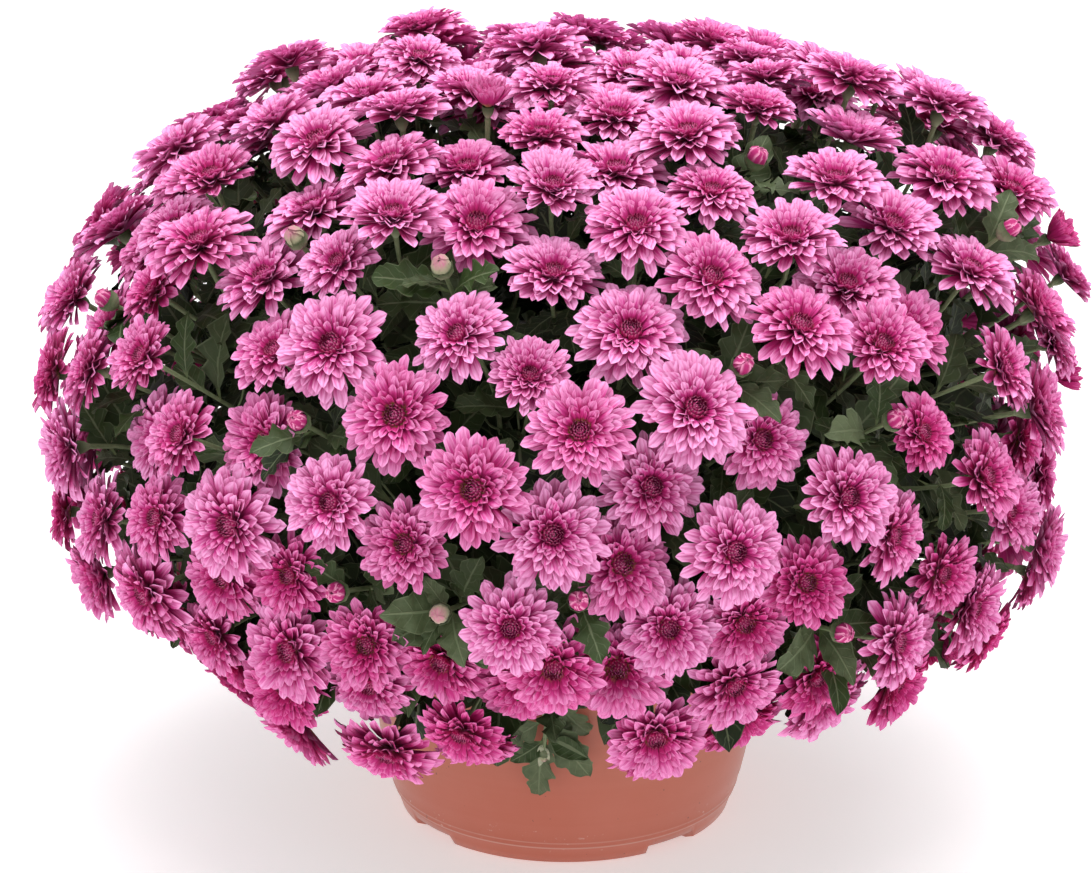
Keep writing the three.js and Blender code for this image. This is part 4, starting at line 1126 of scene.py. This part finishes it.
def green_material(look):
    """Leaves, stalks, calyxes and downy tips. A leaf has a pale rib, slanting veins and a pale edge on a
    mottled green that goes from deep green in the low tones to downy grey-green in the high ones."""
    shader = Shader("chrysanthemum_green")
    where, along, edge, tone = shader.map_parts()
    mottle = shader.grain(where, (9, 90), detail=3.0)
    green = shader.ramp(tone + (mottle - 0.5) * 0.3, (0.0, look.leaf_dark), (0.3, look.leaf_green),
                        (0.55, look.leaf_grey), (0.75, look.leaf_light))
    slant = (along - edge * 0.16) * 7.0
    vein = ((slant.math("FRACT") - 0.5).math("ABSOLUTE") * 2.0).between(0.80, 1.0)
    veins = vein * (1 - edge.between(0.75, 1.0)) * along.between(0.12, 0.2)
    rib = 1 - edge.between(0.03, 0.10)
    rim = edge.between(0.90, 1.0) * along.between(0.2, 0.3)
    lines = (rib * 0.8).math("MAXIMUM", veins * 0.35).math("MAXIMUM", rim * 0.7)
    leaf = shader.mix(lines, green, look.leaf_vein)
    leaf = shader.mix(1 - along.between(0.1, 0.2), leaf, look.stalk)
    fuzz = shader.grain(where, (40, 300))
    stalk = shader.mix((fuzz - 0.5) * 1.2 + 0.35, look.stalk, look.stalk_pale)
    colour = shader.mix(tone.between(0.74, 0.79), leaf, stalk)
    calyx = shader.mix(along.between(0.2, 0.9), look.stalk_pale, look.calyx)
    colour = shader.mix(tone.between(0.89, 0.92), colour, calyx)
    downy = shader.mix(fuzz, look.stalk_pale, look.young)
    colour = shader.mix(tone.between(0.96, 0.98), colour, downy)
    normal = shader.bump(lines * -0.6 + mottle * 0.5, 0.45, 0.0012)
    return shader.finish(Base_Color=colour, Roughness=0.58, Normal=normal, Specular_IOR_Level=0.35)


def pot_material(look):
    """Matte terracotta-coloured plastic: faint clouds, fine moulding lines, a fine grain, dark specks, a
    little limescale on and between the two moulded ridges near the foot, and a painted highlight along each
    ridge."""
    shader = Shader("terracotta_plastic")
    place = shader.place()
    level = shader.node("ShaderNodeSeparateXYZ", None, {0: place}, output=2)
    clouds = shader.noise(place, 16.0, 4.0)
    rings = shader.noise(shader.place(scale=(1, 1, 90)), 3.0, 2.0)
    grain = shader.noise(place, 900.0, 2.0)
    colour = shader.mix((clouds - 0.35) * 0.9 + (rings - 0.5) * 0.25, look.pot_colour, look.pot_pale)
    near_foot = level.band(0.006, 0.010, 0.0155, 0.024)
    scale_specks = shader.noise(place, 420.0, 2.0).between(0.62, 0.72) * near_foot
    patches = shader.noise(place, 60.0, 2.0).between(0.45, 0.65)
    colour = shader.mix(scale_specks * patches * 0.75, colour, look.limescale_and_ridge_highlight)
    dust = shader.noise(shader.place(shift=(3, 1, 2)), 340.0, 1.0).between(0.765, 0.80)
    colour = shader.mix(dust * 0.6, colour, look.pot_speck)
    # Painted highlight: a pale line in the limescale colour along each of the two moulded ridges.
    lower, upper = level.band(0.0094, 0.0100, 0.0104, 0.0110), level.band(0.0124, 0.0130, 0.0132, 0.0138)
    colour = shader.mix((lower + upper * 0.7) * 0.28, colour, look.limescale_and_ridge_highlight)
    rough = 0.42 + (grain - 0.5) * 0.1 + scale_specks * 0.3
    normal = shader.bump(rings * 0.6 + grain * 0.25, 0.12, 0.0006)
    return shader.finish(Base_Color=colour, Roughness=rough, Normal=normal, Specular_IOR_Level=0.5,
                         Sheen_Weight=0.3, Sheen_Roughness=0.35)


def soil_material(look):
    """Peat soil: dark brown crumbs with paler fibres and black gaps."""
    shader = Shader("peat_soil")
    crumbs = shader.noise(shader.place(), 220.0, 6.0, 0.7)
    fibres = shader.noise(shader.place(scale=(1, 6, 1)), 300.0, 3.0).between(0.62, 0.70)
    colour = shader.ramp(crumbs, (0.3, look.soil_gap), (0.5, look.soil_dark), (0.75, look.soil_light))
    colour = shader.mix(fibres * 0.5, colour, look.soil_fibre)
    normal = shader.bump(crumbs, 0.9, 0.002)
    return shader.finish(Base_Color=colour, Roughness=0.95, Normal=normal, Specular_IOR_Level=0.2)


def bark_material(look):
    """Woody stem base: grey-brown bark, streaked lengthways."""
    shader = Shader("woody_bark")
    streaks = shader.noise(shader.place(scale=(1, 1, 0.15)), 260.0, 5.0, 0.65)
    colour = shader.ramp(streaks, (0.3, look.bark_crack), (0.55, look.bark), (0.8, look.bark_ridge))
    return shader.finish(Base_Color=colour, Roughness=0.85, Normal=shader.bump(streaks, 0.8, 0.002))


# ---------------------------------------------------------------- settings

def colour_setting(name, text, value):
    """A colour that the user can change."""
    return FloatVectorProperty(name=name, description=text, subtype="COLOR", size=3, min=0, max=1,
                               default=value)


class MumFlowerSettings(bpy.types.PropertyGroup):
    """How the blooms stand, and the colours of petals and eyes"""

    nod: FloatProperty(name="Nod", description="How far blooms nod to sides of their own", subtype="FACTOR",
                       min=0, max=1, default=0.3)
    half_open: FloatProperty(name="Half open", description="Share of the smallest blooms that is half open",
                             subtype="FACTOR", min=0, max=1, default=0.6)
    # Also the colour of the painted highlight on the petals' rolled tip edges.
    petal_pale: colour_setting("Petal tip", "Colour of a petal's tip and edges", (0.98, 0.43, 0.76))
    petal_middle: colour_setting("Petal middle", "Colour half way along a petal", (0.64, 0.050, 0.295))
    # Also the colour of the painted shade between the petals' feet and along their middle fold.
    petal_deep: colour_setting("Petal foot", "Colour where a petal starts", (0.50, 0.026, 0.19))
    # Painted shade: the tint that darkens the petals of the lower tones.
    petal_shade: colour_setting("Inner shade", "Tint of the lowest tones", (0.96, 0.40, 0.68))
    eye_dark: colour_setting("Eye", "Colour of the closed florets in the eye", (0.46, 0.022, 0.160))
    eye_rim: colour_setting("Eye outlines", "Colour of those florets' edges", (0.86, 0.31, 0.52))
    eye_tinge: colour_setting("Eye tinge", "Yellow-green round the eye", (0.50, 0.38, 0.09))
    bud_pale: colour_setting("Young bud", "Colour of a bud that is still green-white", (0.40, 0.42, 0.25))


class MumFoliageSettings(bpy.types.PropertyGroup):
    """Thickness of the stalks, and colours of leaves, stalks and calyxes"""

    stalk_radius: FloatProperty(name="Stalk radius", description="Radius of a bloom's stalk at its foot",
                                unit="LENGTH", default=0.00125)
    twig_radius: FloatProperty(name="Twig radius", description="Radius of a small leaf's twig",
                               unit="LENGTH", default=0.00055)
    leaf_dark: colour_setting("Shaded leaf", "Colour of the darkest leaves", (0.010, 0.017, 0.006))
    leaf_green: colour_setting("Green leaf", "Colour of fresh leaves", (0.030, 0.058, 0.010))
    leaf_grey: colour_setting("Downy leaf", "Colour of downy leaves", (0.060, 0.084, 0.033))
    leaf_light: colour_setting("Palest leaf", "Colour of the palest leaves", (0.115, 0.148, 0.070))
    leaf_vein: colour_setting("Veins", "Colour of ribs, veins and edges", (0.17, 0.21, 0.11))
    stalk: colour_setting("Stalk", "Colour of stalks", (0.14, 0.19, 0.075))
    stalk_pale: colour_setting("Stalk down", "Colour of the down on stalks", (0.38, 0.44, 0.26))
    calyx: colour_setting("Calyx", "Colour of the scales under a bloom", (0.08, 0.11, 0.045))
    young: colour_setting("Young tip", "Colour of the downy tip of a shoot", (0.66, 0.64, 0.48))


class MumPotSettings(bpy.types.PropertyGroup):
    """Colours of the pot, its soil and the woody crown"""

    pot_colour: colour_setting("Pot", "Main colour of the plastic", (0.52, 0.137, 0.082))
    pot_pale: colour_setting("Pot, faded", "Colour of its faded clouds", (0.63, 0.220, 0.158))
    pot_speck: colour_setting("Pot specks", "Colour of its dirt specks", (0.16, 0.07, 0.05))
    # Also the colour of the painted highlight along the moulded ridges.
    limescale_and_ridge_highlight: colour_setting("Limescale", "Colour of dried splashes", (0.75, 0.62, 0.56))
    soil_gap: colour_setting("Soil gaps", "Colour between the crumbs", (0.008, 0.006, 0.004))
    soil_dark: colour_setting("Soil", "Main colour of the soil", (0.035, 0.022, 0.014))
    soil_light: colour_setting("Soil crumbs", "Colour of its driest crumbs", (0.11, 0.07, 0.045))
    soil_fibre: colour_setting("Soil fibres", "Colour of the fibres in it", (0.16, 0.10, 0.05))
    bark_crack: colour_setting("Bark cracks", "Colour of the cracks in the bark", (0.05, 0.035, 0.02))
    bark: colour_setting("Bark", "Main colour of the woody crown", (0.17, 0.13, 0.08))
    bark_ridge: colour_setting("Bark ridges", "Colour of the ridges on the bark", (0.30, 0.25, 0.16))


class MumStageSettings(bpy.types.PropertyGroup):
    """Camera, floor and light"""

    pitch: FloatProperty(name="Camera pitch", description="How far the camera looks down", unit="ROTATION",
                         default=math.radians(19.0))
    distance: FloatProperty(name="Camera distance", description="From the aim to the camera", unit="LENGTH",
                            default=1.6)
    aim_height: FloatProperty(name="Aim height", description="Height that the camera looks at",
                              unit="LENGTH", default=0.1845)
    aim_side: FloatProperty(name="Aim to the side", description="How far right of the pot's middle it looks",
                            unit="LENGTH", default=-0.0094)
    lens: FloatProperty(name="Lens", description="Focal length in millimetres", unit="CAMERA", default=111.9)
    sky: FloatProperty(name="Room light", description="Strength of the even light all round", default=0.77)
    top_light: FloatProperty(name="Top light", description="Power of the soft light overhead",
                             unit="POWER", default=22.5)
    front_light: FloatProperty(name="Front light", description="Power of the soft light in front",
                               unit="POWER", default=1.8)
    floor: colour_setting("Floor", "Colour of the floor", (0.85, 0.85, 0.85))
    floor_glow: FloatProperty(name="Floor glow", description="How brightly the floor is lit from below",
                              default=0.42)


# ---------------------------------------------------------------- operators

MATERIALS = {}


def material(make, look):
    """The material that a function makes from its settings, made once."""
    if make not in MATERIALS:
        MATERIALS[make] = make(look)
    return MATERIALS[make]


class MUM_OT_blooms(bpy.types.Operator):
    """Make the blooms of every spray"""

    bl_idname = "mum.blooms"
    bl_label = "Blooms"

    def execute(self, context):
        look = context.scene.mum_flowers
        petals = material(petal_material, look)
        for growth in plant()["sprays"]:
            make_blooms(growth, plant()["blooms"], look, petals)
        return {"FINISHED"}


class MUM_OT_stalks(bpy.types.Operator):
    """Make the stalks, calyxes and leaves of every spray"""

    bl_idname = "mum.stalks"
    bl_label = "Stalks and leaves"

    def execute(self, context):
        greens = material(green_material, context.scene.mum_foliage)
        for growth in plant()["sprays"]:
            make_greens(growth, plant()["blooms"], context.scene, greens)
        return {"FINISHED"}


class MUM_OT_shoots(bpy.types.Operator):
    """Make the leafy shoots with their closed buds"""

    bl_idname = "mum.shoots"
    bl_label = "Leafy shoots"

    def execute(self, context):
        greens = material(green_material, context.scene.mum_foliage)
        petals = material(petal_material, context.scene.mum_flowers)
        for number, growth in enumerate(plant()["shoots"]):
            make_shoot(growth, number, greens)
            make_bud(growth, number, petals)
        return {"FINISHED"}


class MUM_OT_pot(bpy.types.Operator):
    """Make the bowl pot"""

    bl_idname = "mum.pot"
    bl_label = "Pot"

    def execute(self, context):
        make_pot(material(pot_material, context.scene.mum_pot))
        return {"FINISHED"}


class MUM_OT_soil(bpy.types.Operator):
    """Make the root ball of soil"""

    bl_idname = "mum.soil"
    bl_label = "Potting soil"

    def execute(self, context):
        make_soil(material(soil_material, context.scene.mum_pot))
        return {"FINISHED"}


class MUM_OT_crown(bpy.types.Operator):
    """Make the woody crown that the stems grow out of"""

    bl_idname = "mum.crown"
    bl_label = "Woody crown"

    def execute(self, context):
        make_crown(material(bark_material, context.scene.mum_pot))
        return {"FINISHED"}


def make_floor(colour, glow):
    """A plain pale floor, lit from below a little, as a light table is."""
    half = 6.0
    mesh = bpy.data.meshes.new("floor")
    corners = [(-half, -half, 0), (half, -half, 0), (half, half, 0), (-half, half, 0)]
    mesh.from_pydata(corners, [], [(0, 1, 2, 3)])
    shader = Shader("floor_paint")
    mesh.materials.append(shader.finish(Base_Color=colour, Roughness=0.9, Specular_IOR_Level=0.1,
                                        Emission_Color=(1, 1, 1), Emission_Strength=glow))
    floor = bpy.data.objects.new("floor", mesh)
    bpy.context.scene.collection.objects.link(floor)


def make_room(strength):
    """Even white light from all round."""
    world = bpy.data.worlds.new("soft_room")
    world.use_nodes = True
    background = world.node_tree.nodes["Background"]
    background.inputs["Color"].default_value = (1, 1, 1, 1)
    background.inputs["Strength"].default_value = strength
    bpy.context.scene.world = world


def add_lamp(name, place, size, power):
    """A square soft light that faces the plant's middle."""
    lamp = bpy.data.lights.new(name, "AREA")
    lamp.size = size
    lamp.energy = power
    holder = bpy.data.objects.new(name, lamp)
    holder.location = place
    towards = DOME_CENTRE * MM - np.array(place)
    flat = math.hypot(towards[0], towards[1])
    turn = math.atan2(towards[1], towards[0]) - math.pi / 2
    holder.rotation_euler = (math.atan2(flat, -towards[2]), 0, turn)
    bpy.context.scene.collection.objects.link(holder)


def add_camera(stage):
    """The camera: at the stage's distance from its aim, along a line that goes down to it by its pitch."""
    lens = bpy.data.cameras.new("view")
    lens.lens = stage.lens
    lens.sensor_width = 36.0
    lens.sensor_fit = "HORIZONTAL"
    lens.clip_end = 20.0
    camera = bpy.data.objects.new("view", lens)
    back, up = stage.distance * math.cos(stage.pitch), stage.distance * math.sin(stage.pitch)
    camera.location = (stage.aim_side, -back, stage.aim_height + up)
    camera.rotation_euler = (math.pi / 2 - stage.pitch, 0, 0)
    bpy.context.scene.collection.objects.link(camera)
    bpy.context.scene.camera = camera


class MUM_OT_stage(bpy.types.Operator):
    """Set up the floor, the soft light and the camera"""

    bl_idname = "mum.stage"
    bl_label = "Stage"

    def execute(self, context):
        stage = context.scene.mum_stage
        context.scene.view_settings.view_transform = "Standard"
        make_floor(stage.floor, stage.floor_glow)
        make_room(stage.sky)
        add_lamp("top_light", (0.1, -0.10, 1.6), 1.6, stage.top_light)
        add_lamp("front_light", (-0.9, -1.6, 0.9), 1.2, stage.front_light)
        add_camera(stage)
        return {"FINISHED"}


class MUM_PT_panel(bpy.types.Panel):
    """Lists the pieces of the plant"""

    bl_label = "Pot Chrysanthemum"
    bl_idname = "MUM_PT_panel"
    bl_space_type = "VIEW_3D"
    bl_region_type = "UI"
    bl_category = "Mum"

    def draw(self, context):
        for operator in OPERATORS:
            self.layout.operator(operator.bl_idname)


GROUPS = {"mum_flowers": MumFlowerSettings, "mum_foliage": MumFoliageSettings, "mum_pot": MumPotSettings,
          "mum_stage": MumStageSettings}
OPERATORS = (MUM_OT_pot, MUM_OT_soil, MUM_OT_crown, MUM_OT_blooms, MUM_OT_stalks, MUM_OT_shoots, MUM_OT_stage)


def register():
    for name, group in GROUPS.items():
        bpy.utils.register_class(group)
        setattr(bpy.types.Scene, name, PointerProperty(type=group))
    for cls in (*OPERATORS, MUM_PT_panel):
        bpy.utils.register_class(cls)


def unregister():
    for cls in (MUM_PT_panel, *reversed(OPERATORS)):
        bpy.utils.unregister_class(cls)
    for name, group in GROUPS.items():
        delattr(bpy.types.Scene, name)
        bpy.utils.unregister_class(group)


def main():
    register()
    for operator in OPERATORS:
        group, name = operator.bl_idname.split(".")
        getattr(getattr(bpy.ops, group), name)()


if __name__ == "__main__":
    main()
